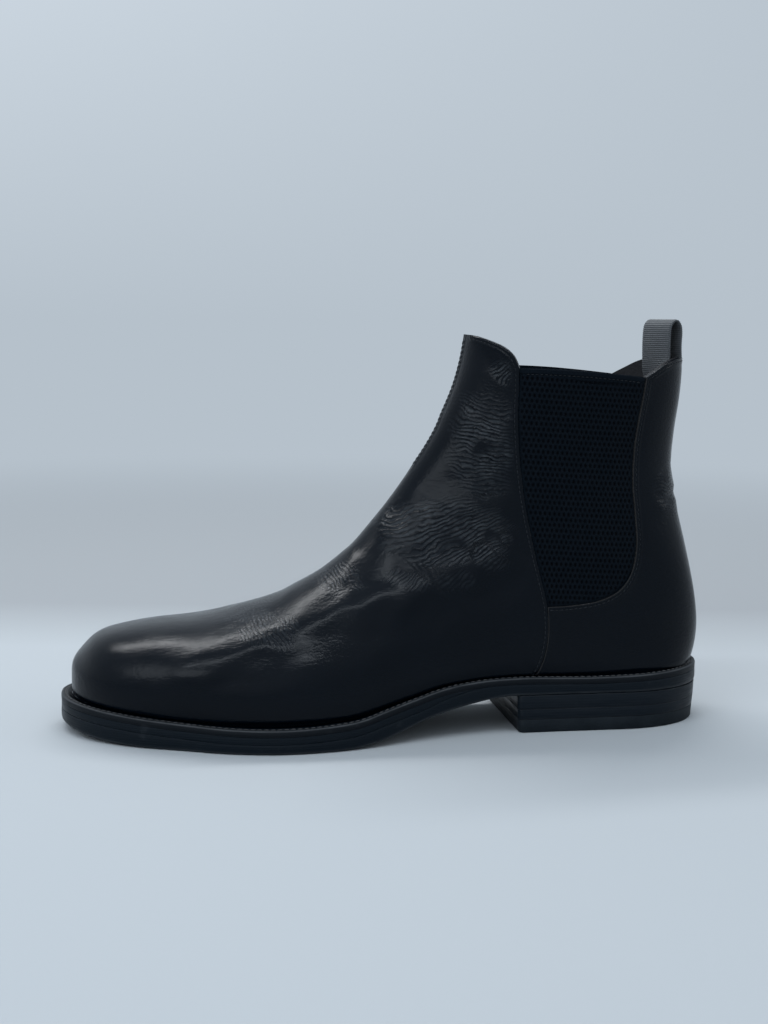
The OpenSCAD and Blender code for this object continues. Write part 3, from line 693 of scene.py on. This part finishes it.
def dense(line, step=0.2):
    """A polyline resampled to even steps, with what its points carry."""
    line = np.asarray(line, float)
    s = np.concatenate([[0], np.cumsum(np.linalg.norm(np.diff(line[:, :3], axis=0), axis=1))])
    at = np.arange(0, s[-1], step)
    return np.column_stack([np.interp(at, s, line[:, k]) for k in range(line.shape[1])])


def seam(side, first, last, reach):
    """Points and normals along a line on the surface. reach gives its distance from the fan's line."""
    a = np.linspace(first, last, 700)
    return dense(np.column_stack(skin(a, side, v_at(section(a), reach(a)))))


VAMP_EDGE = {side: seam(side, FAN_LOW, FAN_LAST, vamp_end) for side in SIDES}
QUARTER_EDGE = {side: seam(side, FAN_LOW, FAN_PEAK, quarter_start) for side in SIDES}


def feather_edge():
    """The line where the upper meets the welt, all round."""
    S = section(np.linspace(FAN_FIRST, FAN_HEEL, 900))
    return np.concatenate([dense(on(S, side, 2.0), 0.4) for side in SIDES])


FEATHER_EDGE = feather_edge()


def spaced(marks):
    """Angles of rows: evenly spread between marks of (angle, steps to the next)."""
    parts = [np.linspace(a, b, n, endpoint=False) for (a, n), (b, _) in zip(marks[:-1], marks[1:])]
    return np.concatenate(parts + [[marks[-1][0]]])[:, None]


# ---- Upper ----

TOE_MIDDLE = np.array([-120.0, 5.0, 20.0])
STITCH_IN, STITCH_PITCH = 1.7, 2.45      # from the vamp's edge, and along a row
CELL_ROW, CELL_PITCH = 2.6, 2.25         # the elastic's cells, up and across
HEM_STITCH = 2.75                        # from the elastic's top edge
DROP, DROP_REACH = 1.3, 1.6              # how far the lasted edge is drawn down, and over what width
DENT, DENT_REACH = 1.1, 3.2              # how far it is drawn in, and over what width
ROUND = 0.5                              # of each smoothing pass at the heel, the share that is taken
PUFF_DEPTH = 1.85                        # under the upper's surface, and the linings close behind it
VAMP_LINING_DEPTH, QUARTER_LINING_DEPTH = 1.95, 1.9


def front_grid(marks, cols, power=1.0):
    """The front's surface, from one back edge over the ridge to the other, with its angles and normals.
    At the toe both halves of the first row lie on the middle line and face forwards, and the rows after
    it, where the sections crowd together, take their normals from the grid."""
    a = spaced(marks)
    t = np.arange(-cols, cols + 1) / cols
    p, n = skin(a, np.where(t < 0, -1, 1), v_at(section(a), vamp_end(a)) * (1 - (1 - np.abs(t)) ** power))
    p[0, :, 1] = section(a)["y"][0, 0]
    flat = unit(np.cross(np.gradient(p, axis=0), np.gradient(p, axis=1)))
    flip = np.sum(flat * (p - TOE_MIDDLE), -1, keepdims=True) < 0
    crowded = a[:, 0] < -86
    n[crowded] = np.where(flip, -flat, flat)[crowded]
    n[0] = (-1, 0, 0)
    return a, p, n


def lasted(p):
    """Draws the upper's lowest edge down and in. Returns the distance from it, and the height to add."""
    feather = edge_distance(p, FEATHER_EDGE)
    p[..., 2] -= DROP * fade(feather, DROP_REACH)
    return feather, -DENT * fade(feather, DENT_REACH)


def front_panel():
    """The vamp runs from the toe over the instep up the front of the shaft, in one piece of leather. Its
    back edges and its top are folded in, glued and stitched."""
    a, p, n = front_grid([(FAN_FIRST, 3), (-89.6, 4), (-88.6, 5), (-86.5, 5), (-83, 20), (-66, 24),
                          (-50, 22), (FAN_LOW, 4), (-39, 104), (-17, 24), (FAN_HEM, 10), (-9.6, 10),
                          (FAN_LAST, 0)], 104, 1.45)
    relief, creased, phase = front_relief(p)
    d = edge_distance(p, VAMP_EDGE[-1], VAMP_EDGE[1])
    feather, height = lasted(p)
    calm = smooth((d - 1) / 5) * smooth((feather - 2) / 12)
    height += relief * calm + 0.28 * fade(d - 2.1, 1.5) - 0.8 * lip(d, 0.8) - 0.26 * bell(d, STITCH_IN, 0.4)
    # The centre seam, from the top down to the bend of the instep.
    middle = np.abs(p[..., 1] - section(a)["y"])
    seamed = smooth((p[..., 2] - 118) / 8) * (p[..., 0] < 60)
    height += seamed * (0.22 * fade(middle - 1.8, 1.2) - 0.4 * bell(middle, 0, 0.45))
    obj = sheet("vamp_leather", p + n * height[..., None], p - n * LEATHER_T, upper_leather, zipped=True,
                values={"creased": creased * calm, "phase": phase, "raw": 0 * d})
    on_boot(obj, "upper_leather", "vamp")
    return obj


def on_shaft(obj, slot, *nodes):
    """Bakes the piece's place into its mesh, and hides the CAD nodes that it shows."""
    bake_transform(obj)
    if nodes:
        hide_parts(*nodes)


def back_grid(cols, power):
    """The back's surface, from one side seam round the heel to the other, and the cells that aren't there:
    below the heel's section the rows are open."""
    a = spaced([(FAN_LOW + 0.02, 4), (-39.5, 16), (FAN_CORNER, 22), (FAN_HEEL, 60), (-18, 24),
                (FAN_REAR, 16), (FAN_PEAK - 0.03, 0)])
    t = np.arange(cols) / (cols - 1)
    start = v_at(section(a), quarter_start(a))
    v = start + (2 - start) * np.concatenate([t, t[::-1]]) ** power
    missing = np.zeros((len(a) - 1, 2 * cols - 1), bool)
    missing[:, cols - 1] = a[:-1, 0] < FAN_HEEL - 0.01
    return a, v, *skin(a, np.repeat(SIDES, cols), v), missing


def back_relief(p):
    x, y, z = p[..., 0], p[..., 1], p[..., 2]
    height = 0.16 * waves(x, y, z, 40, 12)
    moved = z + 2.2 * waves(x, y, z, 16, 14)
    back = smooth((x - 122) / 12)
    for level, width, rise in ((116.5, 3.6, 0.4), (110.5, 2.8, -0.4), (105, 3.4, 0.3), (124, 3.0, -0.2)):
        height = height + rise * back * bell(moved, level, width)
    there = np.clip(patch(x, z, (141, 114), (20, 20)) * (0.8 + 0.4 * waves(x, y, z, 9, 15)), 0, 1)
    phase = z * 1.8 + 1.2 * waves(x, y, z, 11, 16)
    height = height + 0.12 * there * creases(phase)
    return height, there, phase


def back_panel():
    """The quarter wraps the heel in one piece. Its edges beside the elastic are cut and left raw."""
    a, v, p, n, missing = back_grid(92, 1.7)
    # The rows on both sides of the heel's section are smoothed into each other.
    share = smooth(1 - np.abs(a - FAN_HEEL) / 7) * smooth((2 - v) / 0.35) * smooth((v - 1.05) / 0.3)
    for _ in range(90):
        p[1:-1] += share[1:-1, :, None] * ((p[:-2] + p[2:]) / 2 - p[1:-1]) * ROUND
    relief, creased, phase = back_relief(p)
    d = edge_distance(p, QUARTER_EDGE[-1], QUARTER_EDGE[1])
    feather, height = lasted(p)
    calm = smooth((d - 1) / 6) * smooth((feather - 2) / 12)
    top = smooth((a - FAN_REAR + 0.4) / 0.6)
    height += (relief * calm + 0.2 * fade(d - 2.2, 1.4) - 0.22 * bell(d, 1.6, 0.4)
               - (0.3 + 0.4 * top) * lip(d, 0.55))
    raw = fade(d - 0.1, 0.35) * (1 - 0.8 * top)
    obj = sheet("quarter_leather", p + n * height[..., None], p - n * LEATHER_T, upper_leather, missing,
                values={"creased": creased * calm, "phase": phase, "raw": raw})
    on_shaft(obj, "upper_leather", "quarter", "quarter_top")
    return obj


def elastic_gusset(side, name):
    """Woven elastic: staggered cells between raised cords, with a plain hem along its top."""
    a = spaced([(FAN_CORNER + 0.05, 236), (FAN_HEM, 8), (-10.9, 8), (FAN_REAR - 0.02, 0)])
    t = np.arange(133)[::-side] / 132
    v0, v1 = (v_at(section(a), r) for r in (gusset_start(a) - 0.3, curve(REAR, a) + 0.3))
    p, n = skin(a, side, v0 + (v1 - v0) * t)
    x, z = p[..., 0], p[..., 2]
    d = edge_distance(p, VAMP_EDGE[side], QUARTER_EDGE[side])
    below = curve(GUSSET_TOP, x) - z
    # Cells are lens shaped, each row shifted by half a cell.
    rows = (z + 0.06 * x) / CELL_ROW
    across = x / CELL_PITCH + 0.5 * (np.floor(rows) % 2)
    u, w = (at - np.floor(at) - 0.5 for at in (across, rows))
    cell = smooth(1.3 - np.sqrt((u / 0.4) ** 2 + (w / 0.52) ** 2) * 1.2)
    cell = cell * smooth((below - 3.1) / 0.5) * smooth((d - 0.6) / 0.8)
    hem = smooth(below / 0.5) * fade(below - 2.3, 0.4)
    height = (0.2 * hem - 0.45 - 0.5 * cell - 0.45 * fade(d, 1.6) - 0.25 * fade(below, 0.6)
              - 0.35 * bell(below, HEM_STITCH, 0.3)
              + 0.35 * waves(x, p[..., 1], z, 42, 20) * smooth((d - 2) / 12))
    obj = sheet(name, p + n * height[..., None], p - n * 2.0, elastic, values={"cell": cell})
    on_shaft(obj, "elastic", name.replace("elastic", "gusset"))
    return obj


def linings():
    """The lining's two halves, one along the front panel and one along the back panel, and the toe puff
    between lining and vamp."""
    a, p, n = front_grid([(FAN_FIRST, 3), (-88, 4), (-83, 12), (FAN_LOW, 4), (-39, 20), (FAN_HEM, 8),
                          (-9.6, 4), (FAN_LAST, 0)], 30)
    toe = a[:, 0] < -77
    board = PUFF_DEPTH + 0.05 + 1.05 * fade(a[toe] + 84, 7)
    puff = sheet("toe_puff_board", (p - PUFF_DEPTH * n)[toe], p[toe] - n[toe] * board[..., None], stiffener,
                 zipped=True)
    on_boot(puff, "stiffener", "toe_puff")
    deep = (VAMP_LINING_DEPTH + fade(a + 76, 4))[..., None]
    front = sheet("vamp_lining_leather", p - n * deep, p - n * (deep + LINING_T), lining_leather, zipped=True,
                  values={"creased": 0.35 + 0 * p[..., 0]})
    on_boot(front, "lining_leather", "vamp_lining")

    a, v, p, n, missing = back_grid(40, 1.3)
    spare = fade(a + 25, 6) + 0 * v      # the room that the heel counter takes
    relief, creased, _ = back_relief(p)
    deep = QUARTER_LINING_DEPTH + spare
    inner = deep + LINING_T + 0.4 * relief * smooth(spare)
    back = sheet("quarter_lining_leather", p - n * deep[..., None], p - n * inner[..., None], lining_leather,
                 missing, values={"creased": np.clip(0.3 + 0.7 * creased, 0, 1)})
    on_shaft(back, "lining_leather", "quarter_lining", "quarter_top_lining")


# ---- Stitches ----

def grow_stitches(name, paths, pitch, material, length=1.8, width=0.46, height=0.3, lean=0.0):
    """Small spindles of thread in rows. Each path is rows of points and normals on the surface, and lean
    turns each stitch by some degrees from its row."""
    tips, turns = np.radians([-90, -52, -18, 18, 52, 90]), np.radians(np.arange(0, 360, 60))
    shape = np.array([[math.sin(u) * length / 2, math.cos(u) * math.cos(w) * width / 2,
                       math.cos(u) * math.sin(w) * height] for u in tips for w in turns])
    cells = np.array([[6 * i + k, 6 * i + (k + 1) % 6, 6 * (i + 1) + (k + 1) % 6, 6 * (i + 1) + k]
                      for i in range(len(tips) - 1) for k in range(6)])
    c, s = math.cos(math.radians(lean)), math.sin(math.radians(lean))
    every = int(round(pitch / 0.1))
    points, faces = [], []
    for path in paths:
        line = dense(path, 0.1)
        for k in range(every // 2, len(line) - 8, every):
            along = unit(line[min(k + 6, len(line) - 1), :3] - line[max(k - 6, 0), :3])
            up = unit(line[k, 3:] - along * (line[k, 3:] @ along))
            across = np.cross(up, along)
            faces.extend((cells + len(points)).tolist())
            axes = np.array([along * c + across * s, across * c - along * s, up])
            points.extend(line[k, :3] + shape @ axes)
    obj = new_mesh(name, points, faces, material)
    weld(obj)
    return obj


def beside(edge, offset, outwards, surface):
    """A path at an offset from a seam, laid on the surface. outwards is 1 away from the front, or -1."""
    p, n = edge[:, :3], unit(edge[:, 3:])
    across = unit(np.cross(n, unit(np.gradient(p, axis=0))))
    away = p - np.array([FAN[0], 0, FAN[1]])
    away[:, 1] = 0
    across *= (np.sign(np.sum(across * away, 1)) * outwards)[:, None]
    kernel = np.ones(15) / 15
    even = [np.convolve(np.pad(column, 7, "edge"), kernel, "valid") for column in across.T]
    return laid(p + unit(np.column_stack(even)) * offset, n, surface)


def laid(p, n, surface, lift=0.02):
    """A path moved along its normals on to the surface, or a little above it."""
    return np.column_stack([p + n * (np.sum((nearest(p, surface, 0) - p) * n, 1) + lift)[:, None], n])


def upper_stitches(front, back, gussets):
    paths = [beside(VAMP_EDGE[side], STITCH_IN, -1, front) for side in SIDES]
    for side in SIDES:
        p, n = skin(np.linspace(-39, -9.3, 260), side, 1e-3)
        p[:, 1] += 1.5 * side
        path = laid(p, n, front)
        paths.append(path[path[:, 2] > 124])
    on_boot(grow_stitches("vamp_stitches", paths, STITCH_PITCH, thread, height=0.2), "upper_leather")

    paths = [beside(seam(side, FAN_CORNER + 0.1, FAN_PEAK - 0.05, quarter_start), 1.6, 1, back)
             for side in SIDES]
    on_shaft(grow_stitches("quarter_stitches", paths, STITCH_PITCH, thread), "upper_leather")

    x = np.linspace(60, 116, 120)
    z = curve(GUSSET_TOP, x) - HEM_STITCH
    a, r = np.degrees(np.arctan2(z - FAN[1], x - FAN[0])), np.hypot(x - FAN[0], z - FAN[1])
    v = v_at(section(a), r)
    paths = [laid(*skin(a, side, v), surface, 0.05) for side, surface in zip(SIDES, gussets)]
    on_shaft(grow_stitches("gusset_stitches", paths, 2.2, thread, 1.5, 0.4, 0.22), "elastic")


# ---- Pull tab ----

def pull_strap():
    """Grosgrain webbing, sewn to the lining and standing up in a loop that is turned a little."""
    route = np.array([(139.1, 148.5), (138.6, 153), (136, 159), (133, 165.5), (131.4, 172), (130.9, 180),
                      (131, 188), (131.6, 191.6), (133.2, 193.6), (134.4, 194.0), (135.8, 193.5),
                      (137.2, 191.4), (137.7, 188), (137.5, 182), (137.9, 176), (138.9, 170), (139.4, 163),
                      (139.7, 156), (139.8, 151)], float)
    knots = np.concatenate([[0], np.cumsum(np.linalg.norm(np.diff(route, axis=0), axis=1))])
    fine = np.linspace(0, knots[-1], 460)
    line = np.column_stack([curve(np.column_stack([knots, route]), fine, k) for k in (1, 2)])
    direction = unit(np.gradient(line, axis=0))
    out = np.column_stack([-direction[:, 1], direction[:, 0]])
    w = np.linspace(-STRAP_W / 2, STRAP_W / 2, 27)
    x, z = line[:, :1], line[:, 1:]
    free = smooth((z - 160) / 17)
    turn = np.radians(LOOP_TURN) * free
    bow = (1 - free) * w ** 2 / 40 + 0.35 * free * np.cos(w / 7) * bell(z, 186, 8)
    rib = np.cos(2 * np.pi * fine / RIB_PITCH)[:, None]

    def face(lift):
        thick = lift * (STRAP_T / 2 + 0.12 * (rib - 1 - (np.abs(w) > STRAP_W / 2 - 0.7)))
        d, u = x - TAB_X - bow + out[:, :1] * thick, w * (1 + 0.004 * rib)
        return np.stack([TAB_X + d * np.cos(turn) - u * np.sin(turn),
                         TAB_Y + d * np.sin(turn) + u * np.cos(turn), z + out[:, 1:] * thick + 0 * w], -1)

    obj = sheet("pull_strap", face(1), face(-1), webbing, values={"rib": 0.5 + 0.5 * rib + 0 * w})
    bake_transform(obj)
    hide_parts("pull_loop", "pull_tail")

    bars = []
    for height in (151.5, 155.5):
        y = np.linspace(-9, 9, 40)
        at = np.interp(height, route[:4, 1], route[:4, 0]) - y ** 2 / 40 - STRAP_T / 2 - 0.05
        bars.append(np.column_stack([at, TAB_Y + y, np.full(40, height), np.tile([-1, 0, 0], (40, 1))]))
    obj = grow_stitches("pull_strap_stitches", bars, 2.0, thread, 1.5, 0.5, 0.25)
    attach(obj, "shaft_back")


# ---- Sole ----

def weld(obj, sharp=42):
    """Joins points that coincide, drops the faces that this closes up, and points all faces outwards."""
    def join(bm):
        bmesh.ops.remove_doubles(bm, verts=bm.verts, dist=2e-6)
        bmesh.ops.recalc_face_normals(bm, faces=bm.faces)

    edit(obj, join)
    obj.data.set_sharp_from_angle(angle=math.radians(sharp))


def ring(inset, n, start, feather=0.0, corner=0.0):
    """The sole's outline moved inwards: x, and the two sides' y. The inset may follow the feather edge."""
    toe, heel = inset + feather * FEATHER_IN[0][1], inset + feather * FEATHER_IN[-1][1]
    first = max(toe - HALF, start + inset * (start > -HALF))
    x = first + (HALF - heel - first) * (1 - np.cos(np.pi * np.arange(n + 1) / n)) / 2
    moved = inset + feather * curve(FEATHER_IN, x)
    cut = corner - np.sqrt(np.maximum(corner ** 2 - np.maximum(corner - (x - first), 0) ** 2, 0))
    y = [curve(MIDDLE_LINE, x) + s * np.maximum(plan_width(s, x, moved) - cut, 0) for s in (-1, 1)]
    return x, y[0], y[1]


def layer(name, height, rings, material, n=180, across=16, start=-HALF, corner=0.0, tube=False, face=None):
    """A layer of the bottom. Each ring is (inset, level, feather share, how much lighter its edge is drawn),
    from the top's edge down the side to the bottom's edge, and height turns x and a level into the ring's
    height. The lighter edges are partly worn by rubbing and partly a painted highlight. The top and bottom
    are closed across unless it is a tube, and face changes their heights."""
    points, faces, rubbed_and_highlight, loops = [], [], [], []
    share = np.arange(1, across) / across
    for inset, level, feather, worn in rings:
        x, low, high = ring(inset, n, start, feather, corner)
        xs = np.concatenate([x, x[::-1], np.full(across - 1, x[0])])
        ys = np.concatenate([low, high[::-1], low[0] + (high[0] - low[0]) * share[::-1]])
        loops.append(len(points) + np.arange(len(xs)))
        points.extend(np.column_stack([xs, ys, height(xs, level)]))
        rubbed_and_highlight.extend([worn] * len(xs))
    for above, below in zip(loops, loops[1:] + loops[:1] if tube else loops[1:]):
        faces.extend(np.column_stack([above, np.roll(above, -1), np.roll(below, -1), below]).tolist())
    for inset, level, feather, worn in ([] if tube else (rings[0], rings[-1])):
        x, low, high = (line[:, None] for line in ring(inset, n, start, feather, corner))
        t = np.arange(across + 1) / across
        ids = len(points) + np.arange((n + 1) * (across + 1)).reshape(n + 1, -1)
        z = height(x, level) + (0 if face is None else face(x, 2 * t - 1))
        points.extend(np.stack(np.broadcast_arrays(x, low + (high - low) * t, z), -1).reshape(-1, 3))
        rubbed_and_highlight.extend([0.0] * ids.size)
        faces.extend(quads(ids).reshape(-1, 4).tolist())
    obj = new_mesh(name, points, faces, material)
    attribute(obj, "rubbed_and_highlight", rubbed_and_highlight)
    weld(obj)
    return obj


def below_welt(x, drop):
    return welt_top(x) - drop


def in_midsole(x, share):
    """From the outsole's top at 0 to the welt's underside at 1. Behind the arch the midsole has run out."""
    return below_welt(x, WELT_T) - midsole_depth(x) * (1 - share)


def in_outsole(x, level):
    share, rise = level
    return tread(x) + (in_midsole(x, 0) - tread(x)) * share + rise


def flat(x, z):
    return z + 0 * x


def bottom():
    # The welt's outer top edge is drawn lighter: partly worn by rubbing and partly a painted highlight.
    welt = layer("welt_strip", below_welt, [
        (8, 0.9, 1, 0), (1.2, 1.5, 1, 0), (-0.4, 1.25, 1, 0), (-1.3, 0.2, 1, 0),
        # The stitches lie in a groove.
        (2.9, 0.02, 0, 0), (2.5, 0.2, 0, 0), (2.1, 0.3, 0, 0), (1.7, 0.2, 0, 0), (1.3, 0.02, 0, 0.1),
        (0.7, 0.1, 0, 0.25), (0.22, 0.42, 0, 1), (0, 0.95, 0, 0.1), (0, 2.7, 0, 0), (0.1, 3.1, 0, 0.1),
        (0.35, WELT_T, 0, 0), (8, WELT_T, 1, 0)], welt_edge, n=260, tube=True)
    on_boot(welt, "welt_leather", "welt")

    middle = layer("midsole_layer", in_midsole, [
        (inset, share, 0, 0) for inset, share in
        ((0.4, 1), (0.18, 0.96), (0.1, 0.85), (0.1, 0.15), (0.18, 0.04), (0.4, 0))], sole_edge)
    edit(middle, clip_behind)
    on_boot(middle, "sole_leather", "midsole")

    # The edge is rounded at its foot, and a shallow channel runs round the tread. The rounded foot is drawn
    # lighter: partly worn by rubbing and partly a painted highlight.
    out = layer("outsole_layer", in_outsole, [
        (inset, (share, rise), 0, worn) for inset, share, rise, worn in
        ((0.35, 1, 0, 0), (0.08, 1, -0.2, 0.1), (0, 0.75, 0, 0), (0, 0.35, 0, 0), (0.05, 0, 1.5, 0.1),
         (0.25, 0, 0.75, 0.7), (0.75, 0, 0.2, 0.5), (1.4, 0, 0, 0.2), (5.3, 0, 0, 0), (5.6, 0, 0.4, 0),
         (6.0, 0, 0.4, 0), (6.3, 0, 0, 0))], sole_edge, n=220)
    out.data.materials.append(bottom_leather)
    for polygon in out.data.polygons:
        if polygon.normal.z < -0.75:
            polygon.material_index = 1
    on_boot(out, "sole_leather", "outsole")

    low, high = TOP_LIFT_T, TOP_LIFT_T + LIFT_T
    # The lifts' bevels are drawn lighter: partly worn by rubbing and partly a painted highlight.
    for node_name, top, base, wide, narrow, material, slot in (
            ("heel_lift_upper", HEEL_H, high, 0.3, 0.55, heel_edge, "heel_leather"),
            ("heel_lift_lower", high, low, 0.6, 0.9, heel_edge, "heel_leather"),
            ("top_lift", low, 0.0, 1.0, 1.35, heel_rubber, "top_lift_rubber")):
        soft = 0.22 if base else 0.6
        lift = layer(node_name + "_layer", flat, [
            (wide + 0.5, top, 0, 0.1), (wide + 0.12, top - 0.12, 0, 0.5), (wide, top - 0.35, 0, 0.1),
            (narrow, base + soft + 0.15, 0, 0.1), (narrow + soft * 0.4, base + soft * 0.4, 0, 0.6),
            (narrow + soft + 0.4, base, 0, 0.1)], material, n=130, start=BREAST_X, corner=2.5)
        on_boot(lift, slot, node_name)

    x, lateral, medial = ring(2.1, 400, -HALF)
    around = np.concatenate([np.column_stack([x, lateral])[::-1], np.column_stack([x, medial])[1:]])
    up = np.tile([0.0, 0.0, 1.0], (len(around), 1))
    path = np.column_stack([around, below_welt(around[:, 0], 0.2), up])
    on_boot(grow_stitches("welt_stitches", [path], 3.0, welt_thread, 2.5, 0.75, 0.36, 9), "welt_leather")


def clip_behind(bm):
    """Cuts off the midsole's thin end, and closes the cut."""
    cut = bmesh.ops.bisect_plane(bm, geom=bm.verts[:] + bm.edges[:] + bm.faces[:], clear_outer=True,
                                 plane_co=(MIDSOLE_END * MM, 0, 0), plane_no=(1, 0, 0))
    bmesh.ops.holes_fill(bm, edges=[e for e in cut["geom_cut"] if isinstance(e, bmesh.types.BMEdge)])


def inside():
    """The sock liner that the foot stands on, and the soft pad let into the insole under the heel."""
    def in_sock(x, rise):
        return welt_top(x) + SOCK_UP + rise

    def cup(x, t):
        return 0.5 * smooth((np.abs(t) - 0.72) / 0.28) + 0.1 * waves(x, 30 * t, 0 * t, 21, 31)

    rings = ((6.0, 1.2), (5.7, 0.9), (5.7, 0.3), (6.0, 0))
    sock = layer("sock_liner_sheet", in_sock, [(inset, rise, 1, 0) for inset, rise in rings], sock_leather,
                 n=120, across=30, face=cup)
    on_boot(sock, "sock_leather", "sock_liner")

    rings = ((12.6, 0.93), (11.6, 0.7), (11.2, 0.4), (11.6, 0.1), (12.4, 0.0))
    pad = layer("heel_cushion", in_sock, [(inset, 1.5 * share - 1.5, 1, 0) for inset, share in rings], foam,
                n=60, across=18, start=85.0, corner=4.0)
    on_boot(pad, "foam", "heel_pad")


# ---- Camera, floor and light ----

# In metres, in millimetres, and in degrees to the right, down, and about the view.
CAMERA_PLACE, LENS = (-0.1165, -0.7207, 0.1928), 54.14
YAW, TILT, ROLL = 9, 7.1067, 0.6


def camera():
    """Stands on the outer side beside the toe, turned a little to the heel and tilted down."""
    lens = bpy.data.cameras.new("camera")
    lens.lens, lens.sensor_width, lens.sensor_fit = LENS, 36.0, "AUTO"
    lens.clip_start, lens.clip_end = 0.01, 30
    obj = add("camera", lens)
    obj.matrix_world = Matrix.Translation(CAMERA_PLACE)
    for angle, axis in ((-YAW, "Z"), (90 - TILT, "X"), (ROLL, "Z")):
        obj.matrix_world = obj.matrix_world @ Matrix.Rotation(math.radians(angle), 4, axis)
    bpy.context.scene.camera = obj


FLOOR_NEAR, FLOOR_BEHIND_SHADE = (0.39, 0.412, 0.43), (0.29, 0.303, 0.316)
HORIZON, SKY_HIGH = (0.468, 0.533, 0.597), (0.684, 0.763, 0.843)
# Name, place, what it points at, size in metres, power in watts and colour.
LIGHTS = [("overhead", (-0.15, 0.62, 1.2), (-0.05, 0, 0), (1.5, 0.16), 13, (0.96, 0.98, 1.0)),
          ("front", (-0.15, -0.62, 1.4), (-0.05, 0, 0.05), (1.7, 0.09), 6.5, (0.84, 0.92, 1.0)),
          ("left", (-1.0, -0.95, 1.0), (0, 0, 0.1), (1.1, 0.75), 7, (0.84, 0.92, 1.0)),
          ("right", (1.25, -0.15, 0.75), (0.1, 0, 0.1), (0.25, 0.8), 1.5, (0.95, 0.98, 1.0))]


def studio():
    """A wide pale floor, painted darker behind the boot as painted shade, that fades into a pale sky, and
    soft lights.
    """
    rings, turns = np.concatenate([np.linspace(0, 1.2, 25), np.geomspace(1.35, 60, 30)]), 96
    angles = 2 * math.pi * np.arange(turns) / turns
    # The floor's points are given in millimetres, like all others.
    points = [(r * math.cos(a) / MM, r * math.sin(a) / MM, 0.0) for r in rings for a in angles]
    faces = [[i + k, i + (k + 1) % turns, i + turns + (k + 1) % turns, i + turns + k]
             for i in range(0, turns * (len(rings) - 1), turns) for k in range(turns)]
    look = Look("studio_floor", FLOOR_NEAR, 0.8, Specular_IOR_Level=0.0)
    at = look.node("SeparateXYZ", {0: look.place}).outputs
    behind = look.shares(at[0], 0.158, at[1], 0.988)
    away = look.node("VectorMath", {0: look.place}, operation="LENGTH").outputs["Value"]
    far = look.node("MapRange", {"Value": away, "From Min": 0.3, "From Max": 1.5},
                    interpolation_type="SMOOTHSTEP").outputs["Result"]
    # Behind the boot the floor is painted darker: painted shade where a backdrop's wall would stand in less
    # light.
    near = look.mix(look.span(behind, 0.16, 0.3), FLOOR_NEAR, FLOOR_BEHIND_SHADE)
    look.set("Base Color", look.mix(far, near, (0.0, 0.0, 0.0)))
    look.set("Emission Color", HORIZON)
    look.set("Emission Strength", far)
    look.mottle(look.noise(60, 2), 0.75, 0.85)
    look.bump(look.noise(0.9, 3), 0.1, 0.05)
    floor = new_mesh("studio_floor", points, faces, look.material)
    weld(floor, 180)

    scene = bpy.context.scene
    scene.view_settings.view_transform = "Standard"
    scene.world = bpy.data.worlds.new("studio_world")
    scene.world.use_nodes = True
    # The sky is one colour at the horizon, and brighter upwards, most of all to the left.
    sky = Nodes(scene.world.node_tree)
    way = sky.node("SeparateXYZ", {0: sky.node("TexCoord").outputs["Generated"]}).outputs
    rise = sky.times(way[2], sky.math("MULTIPLY_ADD", way[0], -2.0, 1.0))
    background = sky.tree.nodes["Background"]
    sky.put(background.inputs["Color"], sky.tones(rise, (0.0, HORIZON), (0.4, SKY_HIGH)))
    sky.put(background.inputs["Strength"], 1.0)
    for name, place, target, size, power, color in LIGHTS:
        data = bpy.data.lights.new(name, "AREA")
        data.shape, data.size, data.size_y = "RECTANGLE", size[0], size[1]
        data.energy, data.color = power, color
        lamp = add(name, data)
        lamp.location = place
        lamp.rotation_euler = (Vector(target) - Vector(place)).to_track_quat("-Z", "Y").to_euler()


def outer_points(obj):
    """The points of a shell's outer face, in millimetres."""
    points = np.array([v.co for v in obj.data.vertices]) / MM
    return points[:len(points) // 2]


camera()
studio()
bottom()
inside()
linings()
vamp, quarter = outer_points(front_panel()), outer_points(back_panel())
gussets = [outer_points(elastic_gusset(side, name))
           for side, name in zip(SIDES, ("elastic_lateral", "elastic_medial"))]
upper_stitches(vamp, quarter, gussets)
pull_strap()
